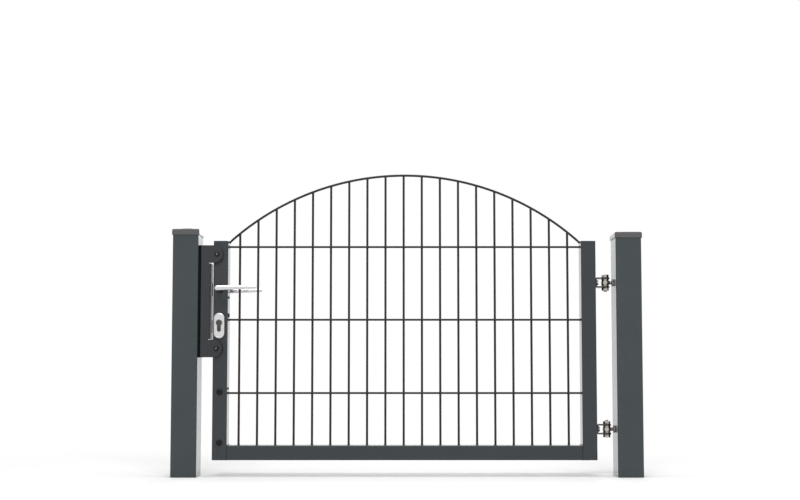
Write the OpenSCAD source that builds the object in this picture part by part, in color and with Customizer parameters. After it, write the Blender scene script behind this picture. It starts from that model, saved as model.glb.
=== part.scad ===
// Single swing garden gate: an arched welded-rod leaf in a square tube frame,
// hung from one post on two eye bolts and shut against a strike plate on the other.
// Millimetres. X runs along the gate, Y through it, Z up.
// The origin is the middle of the hinge post's foot. The front, where the ears of
// the strike plate stop the leaf, faces -Y, and the leaf opens towards +Y.

/* [Posts] */
// Outer width of each square post
post_w = 70; // [60:1:90]
// Wall thickness of the post tube
post_wall = 2.5; // [1.5:0.5:4]
// Outer corner radius of the post tube
post_corner = 4; // [3:0.5:6]
// How far the latch post's tube rises above the frame of the leaf
post_over = 31; // [20:1:200]
// How much lower the hinge post's tube ends than the latch post's
hinge_post_less = 8; // [0:1:20]

/* [Post caps] */
// Height of the cap's skirt, with its top plate
cap_h = 16; // [10:1:30]
// Wall thickness of the cap
cap_wall = 2.3; // [1.5:0.1:4]
// Radius of the low dome on the cap
dome_r = 31; // [20:1:35]
// Rise of the dome
dome_rise = 6; // [3:0.5:12]

/* [Leaf frame] */
// Outer width of the leaf
leaf_w = 1044; // [800:1:1500]
// Length of the frame's upright tubes
stile_h = 594; // [500:1:1000]
// Height of the leaf above the ground
ground_gap = 45; // [30:1:100]
// Outer width of the square frame tube
tube_w = 40; // [35:1:50]
// Wall thickness of the frame tube
tube_wall = 2; // [1.5:0.25:3]
// Outer corner radius of the frame tube
tube_corner = 3; // [3:0.25:4]
// Gap between the latch post and the leaf
latch_gap = 39; // [34:1:60]
// Thickness of the plugs' plates on top of the uprights
plug_t = 3; // [2:0.5:6]

/* [Infill] */
// Diameter of the upright rods and of the arched rod
rod_d = 6.2; // [4:0.1:8]
// Diameter of the cross rods
cross_d = 5.6; // [4:0.1:8]
// Spacing of the upright rods
rod_pitch = 50; // [40:1:80]
// Least distance from the first upright rod to the frame
rod_edge_min = 25; // [15:1:35]
// How far the mesh is set off the leaf's middle, towards the lock
mesh_off = 2.5; // [0:0.5:10]
// Spacing of the cross rods
cross_pitch = 200; // [150:1:250]
// Height of the lowest cross rod above the bottom rail
cross_foot = 141; // [80:1:200]
// Rise of the arched rod above its ends
arch_rise = 186.5; // [120:0.5:300]
// How far the ends of the arched rod lie below the top of the frame tubes
arch_seat = 0.5; // [0.5:0.5:20]
// How deep the rods are welded into one another
weld_sink = 0.6; // [0.3:0.1:1]

/* [Hinges] */
// Distance from the hinge pin to the post
pin_to_post = 23; // [23:0.5:40]
// Distance from the hinge pin to the leaf
pin_to_leaf = 29; // [25:0.5:40]
// Diameter of the hinge pin bolt
pin_d = 10; // [8:1:12]
// Width across the flats of the pin bolt's head and of the eye bolt's nuts
pin_af = 17; // [15:1:19]
// Outer diameter of the eye
eye_d = 22; // [20:1:26]
// Height of the eye
eye_h = 11.5; // [8:0.5:16]
// Thickness of the spacer washers beside the eye
spacer_t = 4; // [2:0.5:6]
// Thickness of the hinge bracket's plate
bracket_t = 4; // [3:0.5:5]
// Width of the hinge bracket
bracket_w = 24; // [22:1:30]
// Distance of the lower hinge from the foot of the leaf
hinge_foot = 83; // [60:1:150]
// Distance of the upper hinge from the top of the frame tubes
hinge_head = 111; // [60:1:150]

/* [Lock] */
// Distance of the lever's axis from the top of the frame tubes
spindle_drop = 130; // [80:1:200]
// Distance of the lock cylinder from the lever's axis
cylinder_drop = 92; // [72:1:110]
// Distance of the lever's axis and the cylinder from the leaf's edge
backset = 18; // [17:0.5:22]
// Reach of the lever from its axis
lever_reach = 105; // [80:1:130]
// Distance of the lever's grip from the frame
lever_stand = 34; // [28:1:50]
// Length of the lock cylinder
cylinder_l = 61; // [60:1:75]
// Width of the oval cylinder plates
plate_w = 29; // [27:1:33]
// Height of the oval cylinder plates
plate_h = 70; // [60:1:90]
// Thickness of the oval cylinder plates
plate_t = 9; // [4:0.5:9]

/* [Strike plate] */
// Height of the strike plate
strike_h = 305; // [280:1:400]
// Distance of the strike plate's middle below the lever's axis
strike_drop = 33.5; // [20:0.5:50]
// Thickness of the strike plate
strike_t = 4; // [3:0.5:5]
// Distance of the strike plate's front from the leaf's middle plane
strike_front = 31; // [29:0.5:34]
// Radius of the rounded ears
ear_r = 24; // [18:1:30]
// How far the ears lap over the frame
ear_lap = 27; // [20:0.5:32]
// Thickness of the packer between the post and the strike plate
packer_t = 5; // [3:0.5:8]
// Gap between the strike plate's lip and the closed leaf
lip_gap = 5.5; // [5:0.5:10]
// Diameter of the rubber buffers
buffer_d = 18; // [14:1:22]

/* [Hidden] */
$fn = 48;

// colours
anthracite = [0.27, 0.29, 0.31];
cap_grey = [0.36, 0.36, 0.38];
rod_grey = [0.21, 0.20, 0.20];
black_rubber = [0.05, 0.05, 0.05];
zinc = [0.72, 0.70, 0.66];
satin_silver = [0.86, 0.86, 0.87];
dark_brass = [0.25, 0.24, 0.22];

// clearances
cut = 1;            // how far a cutting shape runs past the face it cuts
slip = 0.2;         // between pieces that slide into one another
run_play = 0.05;    // radial, between the pins and the bores they turn in
hole_play = 0.1;    // radial, between a bolt and its hole
rest_gap = 0.3;     // between a soft buffer or spacer and the piece that moves on it
stud_play = 0.05;   // radial, between a screw and the insert that holds it

// levels
leaf_top = ground_gap + stile_h;
latch_post_h = leaf_top + post_over;
hinge_post_h = latch_post_h - hinge_post_less;
rail_top = ground_gap + tube_w;
lower_hinge_z = ground_gap + hinge_foot;
upper_hinge_z = leaf_top - hinge_head;
spindle_z = leaf_top - spindle_drop;
cylinder_z = spindle_z - cylinder_drop;
strike_z = spindle_z - strike_drop - strike_h / 2;
ear_zs = [strike_z + ear_r, strike_z + strike_h - ear_r];

// places along the gate
pin_x = -post_w / 2 - pin_to_post;
leaf_right = pin_x - pin_to_leaf;
leaf_left = leaf_right - leaf_w;
post_face = leaf_left - latch_gap;          // the latch post's face towards the leaf
latch_post_x = post_face - post_w / 2;
lock_x = leaf_left + backset;
inner_left = leaf_left + tube_w;
inner_right = leaf_right - tube_w;
inner_w = inner_right - inner_left;
inner_mid = (inner_left + inner_right) / 2;
half_tube = tube_w / 2;

// infill
rod_sides = 8;
rod_gaps = floor((inner_w - 2 * rod_edge_min) / rod_pitch);
rod_first = inner_mid - mesh_off - rod_gaps * rod_pitch / 2;
cross_count = floor((leaf_top - rail_top - cross_foot) / cross_pitch) + 1;
cross_y = -(rod_d + cross_d) / 2 + weld_sink;
arch_end_z = leaf_top - arch_seat;
arch_r = (pow(inner_w / 2, 2) + pow(arch_rise, 2)) / (2 * arch_rise);
arch_mid_z = arch_end_z + arch_rise - arch_r;
arch_angle = asin(inner_w / 2 / arch_r) + 1;
rod_tuck = 1;               // how far an upright rod stops below the arch's middle line

// hinges
bracket_in = eye_h + 2 * spacer_t + 2 * rest_gap;
bracket_out = bracket_in + 2 * bracket_t;
pin_head_h = 6.4;
washer_t = 2;
washer_d = 20;
pin_nut_h = 8;
pin_tail = 3;               // thread that stands out of the nut
eye_nut_h = 6;
end_nut_h = 5;
eye_tail = 0.8;
bracket_bolt_d = 8;
bracket_bolt_af = 13;
bracket_head_h = 5.5;
bracket_bolt_in = 18;       // how far the bracket's bolt reaches into the frame tube

// lock
faceplate_t = 3;
faceplate_w = 22;
faceplate_over = 52;        // above the lever's axis and below the cylinder
lock_case_w = 16;
lock_case_d = tube_w - tube_wall - faceplate_t - 1;
lock_case_over = 36;
spindle_w = 8;
spindle_in = 20;            // how far the spindle sits in each lever
spindle_play = 0.3;
neck_r = 8;
rose_r = 10;
rose_t = 6;
neck_end_gap = 0.5;
lever_root_r = 7.5;
lever_tip_r = 4.7;
lever_root_t = 14;
lever_tip_t = 9;
cylinder_r = 8.5;           // the standard profile: a 17 mm round with a 10 mm foot
cylinder_foot_r = 5;
cylinder_full = 33;
bolt_h = 30;
bolt_w = 10;
bolt_wall = 3;              // left between a bolt and the spindle's hole
bolt_l = backset - spindle_w / sqrt(2) - spindle_play - bolt_wall;
latch_z = spindle_z;
dead_bolt_z = cylinder_z - 10;

// strike plate
strike_x = post_face + packer_t;            // the flange's face on the packer
lip_x = leaf_left - lip_gap;                // the lip's face towards the leaf
strike_depth = strike_front + 15;           // depth of the flange on the post
lip_depth = strike_front + 9;
bend_r = strike_t + 1;
bend_in_r = 1;
notch_z = strike_z + 2 * ear_r;
notch_h = strike_h - 4 * ear_r;
ear_mid_x = leaf_left + ear_lap - ear_r;
ear_screw_x = leaf_left + 11.5;
ear_screw_d = 8;
ear_head_d = 14;
ear_head_h = 4.4;
strike_screw_d = 6;
strike_head_d = 11;
strike_head_h = 4;
strike_screw_y = -4;
strike_screw_in = 12;
keep_w = 14;
keep_h = 36;

// frame screws
stile_screw_d = 10;
stile_head_d = 18;
stile_head_h = 3;
stile_socket_d = 6;
stile_screw_zs = [rail_top + 7, rail_top + cross_foot + 3];
inner_screw_d = 4;
inner_screw_y = -6;
inner_screws_at = [         // height, head diameter and head height of each
    [rail_top + cross_foot + 13, 7, 2.5],
    [cylinder_z + 21, 12, 3],
    [spindle_z - 22, 7, 2.5]
];

// a square with round corners, about the origin
module rounded_square(w, r) {
    square([w - 2 * r, w], center = true);
    square([w, w - 2 * r], center = true);
    for (sx = [-1, 1], sy = [-1, 1])
        translate([sx * (w / 2 - r), sy * (w / 2 - r)]) circle(r);
}

// a square tube standing on its lower end
module square_tube(w, wall, r, h) {
    linear_extrude(h) difference() {
        rounded_square(w, r);
        rounded_square(w - 2 * wall, max(r - wall, 0.5));
    }
}

// a cylinder along X, starting at the origin
module rod_x(r, l) {
    rotate([0, 90, 0]) cylinder(r = r, h = l);
}

// a cylinder along Y, starting at the origin
module rod_y(r, l) {
    rotate([-90, 0, 0]) cylinder(r = r, h = l);
}

// a hexagon bar standing on the origin, given its width across the flats
module hex_bar(af, h) {
    cylinder(r = af / 2 / cos(30), h = h, $fn = 6);
}

module hinge_post() {
    color(anthracite) difference() {
        square_tube(post_w, post_wall, post_corner, hinge_post_h);
        for (z = [lower_hinge_z, upper_hinge_z])
            translate([-post_w / 2 - cut, 0, z])
                rod_x(pin_d / 2 + hole_play, post_w + 2 * cut);
    }
}

module latch_post() {
    color(anthracite) difference() {
        translate([latch_post_x, 0, 0]) square_tube(post_w, post_wall, post_corner, latch_post_h);
        for (z = ear_zs)
            translate([post_face - post_wall - cut, strike_screw_y, z])
                rod_x(strike_screw_d / 2 + hole_play, post_wall + 2 * cut);
    }
}

module post_cap(x, tube_h) {
    outer = post_w + 2 * (slip + cap_wall);
    dome_ball = (pow(dome_r, 2) + pow(dome_rise, 2)) / (2 * dome_rise);
    cap_top = tube_h + cap_wall;
    color(cap_grey) translate([x, 0, 0]) {
        difference() {
            translate([0, 0, cap_top - cap_h]) linear_extrude(cap_h) rounded_square(outer, post_corner);
            translate([0, 0, cap_top - cap_h - cut])
                linear_extrude(cap_h + cut - cap_wall) rounded_square(post_w + 2 * slip, post_corner - 1);
        }
        intersection() {
            translate([0, 0, cap_top + dome_rise - dome_ball]) sphere(dome_ball, $fn = 96);
            translate([0, 0, cap_top - cap_wall / 2]) cylinder(r = dome_r + cut, h = 2 * dome_rise);
        }
    }
}

module latch_post_cap() {
    post_cap(latch_post_x, latch_post_h);
}

module hinge_post_cap() {
    post_cap(0, hinge_post_h);
}

// the strike plate's bent section: flange on the post, front web and lip beside the leaf
module strike_section(depth) {
    web = lip_x - strike_x;
    difference() {
        union() {
            translate([bend_r, 0]) square([web - 2 * bend_r, depth]);
            translate([0, bend_r]) square([web, depth - bend_r]);
            for (x = [bend_r, web - bend_r]) translate([x, bend_r]) circle(bend_r);
        }
        translate([strike_t, strike_t + bend_in_r]) square([web - 2 * strike_t, depth]);
        translate([strike_t + bend_in_r, strike_t]) square([web - 2 * strike_t - 2 * bend_in_r, depth]);
        for (x = [strike_t + bend_in_r, web - strike_t - bend_in_r])
            translate([x, strike_t + bend_in_r]) circle(bend_in_r);
    }
}

module strike_plate() {
    web = lip_x - strike_x;
    color(anthracite) difference() {
        union() {
            // flange and lip, along the whole height, with the lip cut back below
            translate([strike_x, -strike_front, strike_z])
                linear_extrude(strike_h) strike_section(strike_depth);
            // ears in front of the frame
            for (z = ear_zs) {
                translate([ear_mid_x, -strike_front, z]) rod_y(ear_r, strike_t);
                translate([lip_x - bend_r - cut, -strike_front, z - ear_r])
                    cube([ear_mid_x - lip_x + bend_r + cut, strike_t, 2 * ear_r]);
            }
        }
        // the lip stands only between the ears
        for (z = ear_zs)
            translate([lip_x - web / 2, -strike_front + strike_t, z - ear_r - cut])
                cube([web / 2 + cut, strike_depth, 2 * ear_r + (z == ear_zs[0] ? cut : 2 * cut)]);
        // the lip is shallower than the flange
        translate([lip_x - web / 2, -strike_front + lip_depth, strike_z - cut])
            cube([web / 2 + cut, strike_depth, strike_h + 2 * cut]);
        // keep slots for the latch and the dead bolt
        for (z = [latch_z, dead_bolt_z])
            translate([lip_x - strike_t - cut, -keep_w / 2, z - keep_h / 2])
                cube([strike_t + 2 * cut, keep_w, keep_h]);
        for (z = ear_zs) {
            translate([strike_x - cut, strike_screw_y, z])
                rod_x(strike_screw_d / 2 + hole_play, strike_t + 2 * cut);
            translate([ear_screw_x, -strike_front - cut, z])
                rod_y(ear_screw_d / 2 + hole_play, strike_t + 2 * cut);
        }
    }
}

module strike_packer() {
    color(black_rubber) difference() {
        translate([post_face, -strike_front, strike_z]) cube([packer_t, strike_depth, strike_h]);
        for (z = ear_zs)
            translate([post_face - cut, strike_screw_y, z])
                rod_x(strike_screw_d / 2 + hole_play, packer_t + 2 * cut);
    }
}

module strike_screws() {
    color(zinc) for (z = ear_zs) translate([0, strike_screw_y, z]) difference() {
        union() {
            translate([post_face - strike_screw_in, 0, 0])
                rod_x(strike_screw_d / 2, strike_screw_in + packer_t + strike_t + cut);
            translate([strike_x + strike_t, 0, 0]) rod_x(strike_head_d / 2, strike_head_h);
        }
        translate([strike_x + strike_t + strike_head_h / 2, 0, 0])
            rotate([0, 90, 0]) cylinder(r = strike_screw_d / 3, h = strike_head_h, $fn = 6);
    }
}

// a rubber buffer behind an ear
module buffer(z) {
    color(black_rubber) difference() {
        translate([ear_screw_x, -strike_front + strike_t, z])
            rod_y(buffer_d / 2, strike_front - strike_t - half_tube - rest_gap);
        translate([ear_screw_x, -strike_front, z])
            rod_y(ear_screw_d / 2 + stud_play, strike_front - half_tube - 3);
    }
}

module lower_buffer() {
    buffer(ear_zs[0]);
}

module upper_buffer() {
    buffer(ear_zs[1]);
}

// a button-head screw through an ear into its buffer
module buffer_screw(z) {
    color(zinc) translate([ear_screw_x, -strike_front, z]) difference() {
        union() {
            translate([0, -ear_head_h, 0]) rod_y(ear_head_d / 2, ear_head_h);
            rod_y(ear_screw_d / 2, strike_front - half_tube - 3.5);
        }
        translate([0, -ear_head_h - cut, 0])
            rotate([-90, 0, 0]) cylinder(r = 2.9, h = 2.6 + cut, $fn = 6);
    }
}

module lower_buffer_screw() {
    buffer_screw(ear_zs[0]);
}

module upper_buffer_screw() {
    buffer_screw(ear_zs[1]);
}

// an eye bolt that passes through both walls of the hinge post
module eye_bolt(z) {
    color(zinc) translate([pin_x, 0, z]) difference() {
        union() {
            translate([0, 0, -eye_h / 2]) cylinder(r = eye_d / 2, h = eye_h);
            rod_x(pin_d / 2, pin_to_post + post_w + end_nut_h + eye_tail);
        }
        translate([0, 0, -eye_h / 2 - cut]) cylinder(r = pin_d / 2 + run_play, h = eye_h + 2 * cut);
    }
}

module lower_eye_bolt() {
    eye_bolt(lower_hinge_z);
}

module upper_eye_bolt() {
    eye_bolt(upper_hinge_z);
}

// a nut along X on the eye bolt, with its bore
module eye_nut(x, h) {
    translate([x, 0, 0]) rotate([0, 90, 0]) difference() {
        hex_bar(pin_af, h);
        translate([0, 0, -cut]) cylinder(r = pin_d / 2 + stud_play, h = h + 2 * cut);
    }
}

module eye_nuts(z) {
    color(zinc) translate([0, 0, z]) {
        eye_nut(-post_w / 2 - eye_nut_h, eye_nut_h);
        eye_nut(post_w / 2, end_nut_h);
    }
}

module lower_eye_nuts() {
    eye_nuts(lower_hinge_z);
}

module upper_eye_nuts() {
    eye_nuts(upper_hinge_z);
}

// the lock cylinder's profile along Y, with the round at the origin
module profile_bar(l, play) {
    rod_y(cylinder_r + play, l);
    translate([0, 0, cylinder_r - cylinder_full + cylinder_foot_r]) rod_y(cylinder_foot_r + play, l);
    translate([-cylinder_foot_r - play, 0, cylinder_r - cylinder_full + cylinder_foot_r])
        cube([2 * (cylinder_foot_r + play), l, cylinder_full - cylinder_r - cylinder_foot_r]);
}

module lock_stile() {
    color(anthracite) difference() {
        translate([leaf_left + half_tube, 0, ground_gap]) square_tube(tube_w, tube_wall, tube_corner, stile_h);
        // slot for the faceplate
        translate([leaf_left - cut, -faceplate_w / 2 - slip, cylinder_z - faceplate_over - slip])
            cube([tube_wall + 1.5 * cut, faceplate_w + 2 * slip,
                  cylinder_drop + 2 * (faceplate_over + slip)]);
        // holes for the lever's spindle and the cylinder, behind their plates
        translate([lock_x, -half_tube - cut, spindle_z]) rod_y(neck_r + 1, tube_w + 2 * cut);
        translate([lock_x, -half_tube - cut, cylinder_z]) profile_bar(tube_w + 2 * cut, 1);
        // holes for the screws low on the front
        for (z = stile_screw_zs)
            translate([leaf_left + half_tube, -half_tube - cut, z])
                rod_y(stile_screw_d / 2 + hole_play, tube_wall + 2 * cut);
        for (s = inner_screws_at)
            translate([inner_left - tube_wall - cut, inner_screw_y, s[0]])
                rod_x(inner_screw_d / 2 + hole_play, tube_wall + 2 * cut);
    }
}

module hinge_stile() {
    color(anthracite) difference() {
        translate([leaf_right - half_tube, 0, ground_gap]) square_tube(tube_w, tube_wall, tube_corner, stile_h);
        for (z = [lower_hinge_z, upper_hinge_z])
            translate([leaf_right - tube_wall - cut, 0, z])
                rod_x(bracket_bolt_d / 2 + hole_play, tube_wall + 2 * cut);
    }
}

module bottom_rail() {
    color(anthracite) translate([inner_left, 0, ground_gap + half_tube])
        rotate([0, 90, 0]) square_tube(tube_w, tube_wall, tube_corner, inner_w);
}

// a plug in the open top of an upright
module stile_plug(x) {
    inside = tube_w - 2 * tube_wall - 2 * slip;
    color(anthracite) translate([x, 0, leaf_top]) {
        linear_extrude(plug_t) rounded_square(tube_w, tube_corner);
        translate([0, 0, -10]) linear_extrude(10 + plug_t / 2) difference() {
            rounded_square(inside, 1);
            rounded_square(inside - 4, 0.5);
        }
    }
}

module lock_stile_plug() {
    stile_plug(leaf_left + half_tube);
}

module hinge_stile_plug() {
    stile_plug(leaf_right - half_tube);
}

// height of the arched rod's middle line at a place along the gate
function arch_z(x) = arch_mid_z + sqrt(pow(arch_r, 2) - pow(x - inner_mid, 2));

// a straight rod of few sides, with flat sides towards the faces it meets
module straight_rod(d, l) {
    rotate([0, 0, 180 / rod_sides]) cylinder(r = d / 2, h = l, $fn = rod_sides);
}

module mesh_infill() {
    color(rod_grey) {
        for (i = [0 : rod_gaps]) {
            x = rod_first + i * rod_pitch;
            translate([x, 0, rail_top]) straight_rod(rod_d, arch_z(x) - rod_tuck - rail_top);
        }
        for (i = [0 : cross_count - 1])
            translate([inner_left, cross_y, rail_top + cross_foot + i * cross_pitch])
                rotate([0, 90, 0]) straight_rod(cross_d, inner_w);
        // the arched rod, cut off at the frame
        intersection() {
            translate([inner_mid, 0, arch_mid_z]) rotate([90, 0, 0]) rotate([0, 0, 90 - arch_angle])
                rotate_extrude(angle = 2 * arch_angle, $fn = 180)
                    translate([arch_r, 0]) circle(rod_d / 2, $fn = rod_sides);
            translate([inner_left, -rod_d, rail_top])
                cube([inner_w, 2 * rod_d, arch_end_z + arch_rise + rod_d - rail_top]);
        }
    }
}

// a flanged socket screw low on the front of the lock stile
module stile_screw(z) {
    color(black_rubber) translate([leaf_left + half_tube, -half_tube, z]) difference() {
        union() {
            translate([0, -stile_head_h, 0]) rod_y(stile_head_d / 2, stile_head_h);
            rod_y(stile_screw_d / 2, tube_wall + 6);
        }
        translate([0, -stile_head_h - cut, 0])
            rotate([-90, 0, 0]) cylinder(r = stile_socket_d / 2 / cos(30), h = 5 + cut, $fn = 6);
    }
}

// pan-head screws in the face of the lock stile towards the rods
module inner_screws() {
    color(black_rubber) for (s = inner_screws_at) translate([inner_left, inner_screw_y, s[0]]) {
        rod_x(s[1] / 2, s[2]);
        translate([-tube_wall - slip, 0, 0]) rod_x(inner_screw_d / 2, tube_wall + slip + cut);
    }
}

module lower_stile_screw() {
    stile_screw(stile_screw_zs[0]);
}

module upper_stile_screw() {
    stile_screw(stile_screw_zs[1]);
}

// faceplate and case of the lock, in one
module mortice_lock() {
    full = cylinder_drop + 2 * faceplate_over;
    case_h = cylinder_drop + 2 * lock_case_over;
    color(satin_silver) difference() {
        union() {
            translate([leaf_left, -faceplate_w / 2, cylinder_z - faceplate_over])
                cube([faceplate_t, faceplate_w, full]);
            translate([leaf_left + faceplate_t / 2, -lock_case_w / 2, cylinder_z - lock_case_over])
                cube([lock_case_d + faceplate_t / 2, lock_case_w, case_h]);
        }
        translate([lock_x, -lock_case_w, spindle_z])
            rod_y(spindle_w / sqrt(2) + spindle_play, 2 * lock_case_w);
        translate([lock_x, -lock_case_w, cylinder_z]) profile_bar(2 * lock_case_w, slip);
        for (z = [latch_z, dead_bolt_z])
            translate([leaf_left - cut, -bolt_w / 2 - slip, z - bolt_h / 2 - slip])
                cube([bolt_l + slip + cut, bolt_w + 2 * slip, bolt_h + 2 * slip]);
    }
}

// a bolt of the lock, drawn back level with the faceplate
module lock_bolt(z) {
    translate([leaf_left, -bolt_w / 2, z - bolt_h / 2]) cube([bolt_l, bolt_w, bolt_h]);
}

module latch_bolt() {
    color(zinc) lock_bolt(latch_z);
}

module dead_bolt() {
    color(zinc) lock_bolt(dead_bolt_z);
}

module lock_cylinder() {
    color(dark_brass) translate([lock_x, -cylinder_l / 2, cylinder_z]) profile_bar(cylinder_l, 0);
}

// an oval plate around the cylinder; side is -1 for the front and 1 for the back
module cylinder_plate(side) {
    r = plate_w / 2;
    straight = plate_h - plate_w;
    mid_z = cylinder_z + cylinder_r - cylinder_full / 2;
    y0 = side < 0 ? -half_tube - plate_t : half_tube;
    color(satin_silver) difference() {
        union() {
            for (z = [-straight / 2, straight / 2]) translate([lock_x, y0, mid_z + z]) rod_y(r, plate_t);
            translate([lock_x - r, y0, mid_z - straight / 2]) cube([plate_w, plate_t, straight]);
        }
        translate([lock_x, y0 - cut, cylinder_z]) profile_bar(plate_t + 2 * cut, slip);
    }
}

module front_cylinder_plate() {
    cylinder_plate(-1);
}

module back_cylinder_plate() {
    cylinder_plate(1);
}

// the lever's bearing on the frame; side is -1 for the front and 1 for the back
module rose(side) {
    y0 = side < 0 ? -half_tube - rose_t : half_tube;
    color(satin_silver) translate([lock_x, y0, spindle_z]) difference() {
        rod_y(rose_r, rose_t);
        translate([0, -cut, 0]) rod_y(neck_r + run_play, rose_t + 2 * cut);
    }
}

module front_rose() {
    rose(-1);
}

module back_rose() {
    rose(1);
}

// the front lever about its own axis, with the frame's face at y = 0 and the grip at -Y
module lever_shape() {
    grip_mid = lever_stand + lever_root_t / 2;
    difference() {
        union() {
            translate([0, -grip_mid, 0]) rod_y(neck_r, grip_mid - neck_end_gap);
            hull() {
                translate([0, -grip_mid - lever_root_t / 2, 0]) rod_y(lever_root_r, lever_root_t);
                // the grip narrows from below, with its top edge level
                translate([lever_reach - lever_tip_r, -grip_mid - lever_tip_t / 2, lever_root_r - lever_tip_r])
                    rod_y(lever_tip_r, lever_tip_t);
            }
        }
        translate([-spindle_w / 2 - slip, -spindle_in - neck_end_gap - slip, -spindle_w / 2 - slip])
            cube([spindle_w + 2 * slip, spindle_in + slip + cut, spindle_w + 2 * slip]);
    }
}

module front_lever() {
    color(satin_silver) translate([lock_x, -half_tube, spindle_z]) lever_shape();
}

module back_lever() {
    color(satin_silver) translate([lock_x, half_tube, spindle_z]) mirror([0, 1, 0]) lever_shape();
}

module spindle() {
    reach = half_tube + neck_end_gap + spindle_in;
    color(zinc) translate([lock_x - spindle_w / 2, -reach, spindle_z - spindle_w / 2])
        cube([spindle_w, 2 * reach, spindle_w]);
}

// a U-shaped bracket on the leaf, open towards the post
module bracket(z) {
    arm = pin_to_leaf;
    color(zinc) translate([leaf_right, 0, z]) difference() {
        union() {
            translate([0, -bracket_w / 2, -bracket_out / 2]) cube([arm, bracket_w, bracket_out]);
            translate([arm, 0, -bracket_out / 2]) cylinder(r = bracket_w / 2, h = bracket_out);
        }
        translate([bracket_t, -bracket_w, -bracket_in / 2])
            cube([arm + bracket_w, 2 * bracket_w, bracket_in]);
        translate([arm, 0, -bracket_out]) cylinder(r = pin_d / 2 + hole_play, h = 2 * bracket_out);
        translate([-cut, 0, 0]) rod_x(bracket_bolt_d / 2 + hole_play, bracket_t + 2 * cut);
    }
}

module lower_bracket() {
    bracket(lower_hinge_z);
}

module upper_bracket() {
    bracket(upper_hinge_z);
}

// the bolt that holds a bracket on the frame tube
module bracket_bolt(z) {
    color(zinc) translate([leaf_right, 0, z]) {
        translate([bracket_t, 0, 0]) rotate([0, 90, 0]) hex_bar(bracket_bolt_af, bracket_head_h);
        translate([-bracket_bolt_in, 0, 0]) rod_x(bracket_bolt_d / 2, bracket_bolt_in + bracket_t + cut);
    }
}

module lower_bracket_bolt() {
    bracket_bolt(lower_hinge_z);
}

module upper_bracket_bolt() {
    bracket_bolt(upper_hinge_z);
}

// the vertical bolt that the leaf turns on, with its washer; dir 1 puts its head on top
module pin_bolt(z, dir) {
    shank = bracket_out + washer_t + pin_nut_h + pin_tail;
    color(zinc) translate([pin_x, 0, z]) mirror([0, 0, dir > 0 ? 0 : 1]) {
        translate([0, 0, bracket_out / 2 + washer_t - shank]) cylinder(r = pin_d / 2, h = shank + cut);
        translate([0, 0, bracket_out / 2]) cylinder(r = washer_d / 2, h = washer_t);
        translate([0, 0, bracket_out / 2 + washer_t]) hex_bar(pin_af, pin_head_h);
    }
}

// the nut at the other end of the pin bolt
module pin_nut(z, dir) {
    color(zinc) translate([pin_x, 0, z]) mirror([0, 0, dir > 0 ? 0 : 1])
        translate([0, 0, -bracket_out / 2 - pin_nut_h]) difference() {
            hex_bar(pin_af, pin_nut_h);
            translate([0, 0, -cut]) cylinder(r = pin_d / 2 + stud_play, h = pin_nut_h + 2 * cut);
        }
}

module lower_pin_bolt() {
    pin_bolt(lower_hinge_z, -1);
}

module upper_pin_bolt() {
    pin_bolt(upper_hinge_z, 1);
}

module lower_pin_nut() {
    pin_nut(lower_hinge_z, -1);
}

module upper_pin_nut() {
    pin_nut(upper_hinge_z, 1);
}

// the washers that hold the eye in the middle of its bracket
module spacers(z) {
    color(zinc) for (side = [0, 1])
        translate([pin_x, 0, z]) mirror([0, 0, side])
            translate([0, 0, bracket_in / 2 - spacer_t]) difference() {
                cylinder(r = washer_d / 2, h = spacer_t);
                translate([0, 0, -cut]) cylinder(r = pin_d / 2 + hole_play, h = spacer_t + 2 * cut);
            }
}

module lower_spacers() {
    spacers(lower_hinge_z);
}

module upper_spacers() {
    spacers(upper_hinge_z);
}

latch_post();
hinge_post();
latch_post_cap();
hinge_post_cap();
strike_plate();
strike_packer();
strike_screws();
upper_buffer();
lower_buffer();
upper_buffer_screw();
lower_buffer_screw();
upper_eye_bolt();
lower_eye_bolt();
upper_eye_nuts();
lower_eye_nuts();
lock_stile();
hinge_stile();
bottom_rail();
lock_stile_plug();
hinge_stile_plug();
mesh_infill();
upper_stile_screw();
lower_stile_screw();
inner_screws();
mortice_lock();
latch_bolt();
dead_bolt();
lock_cylinder();
front_cylinder_plate();
back_cylinder_plate();
front_rose();
back_rose();
upper_bracket();
lower_bracket();
upper_bracket_bolt();
lower_bracket_bolt();
upper_pin_bolt();
lower_pin_bolt();
upper_pin_nut();
lower_pin_nut();
upper_spacers();
lower_spacers();
front_lever();
back_lever();
spindle();
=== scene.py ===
import math
import random

import bmesh
import bpy
from mathutils import Matrix, Vector, noise


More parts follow.
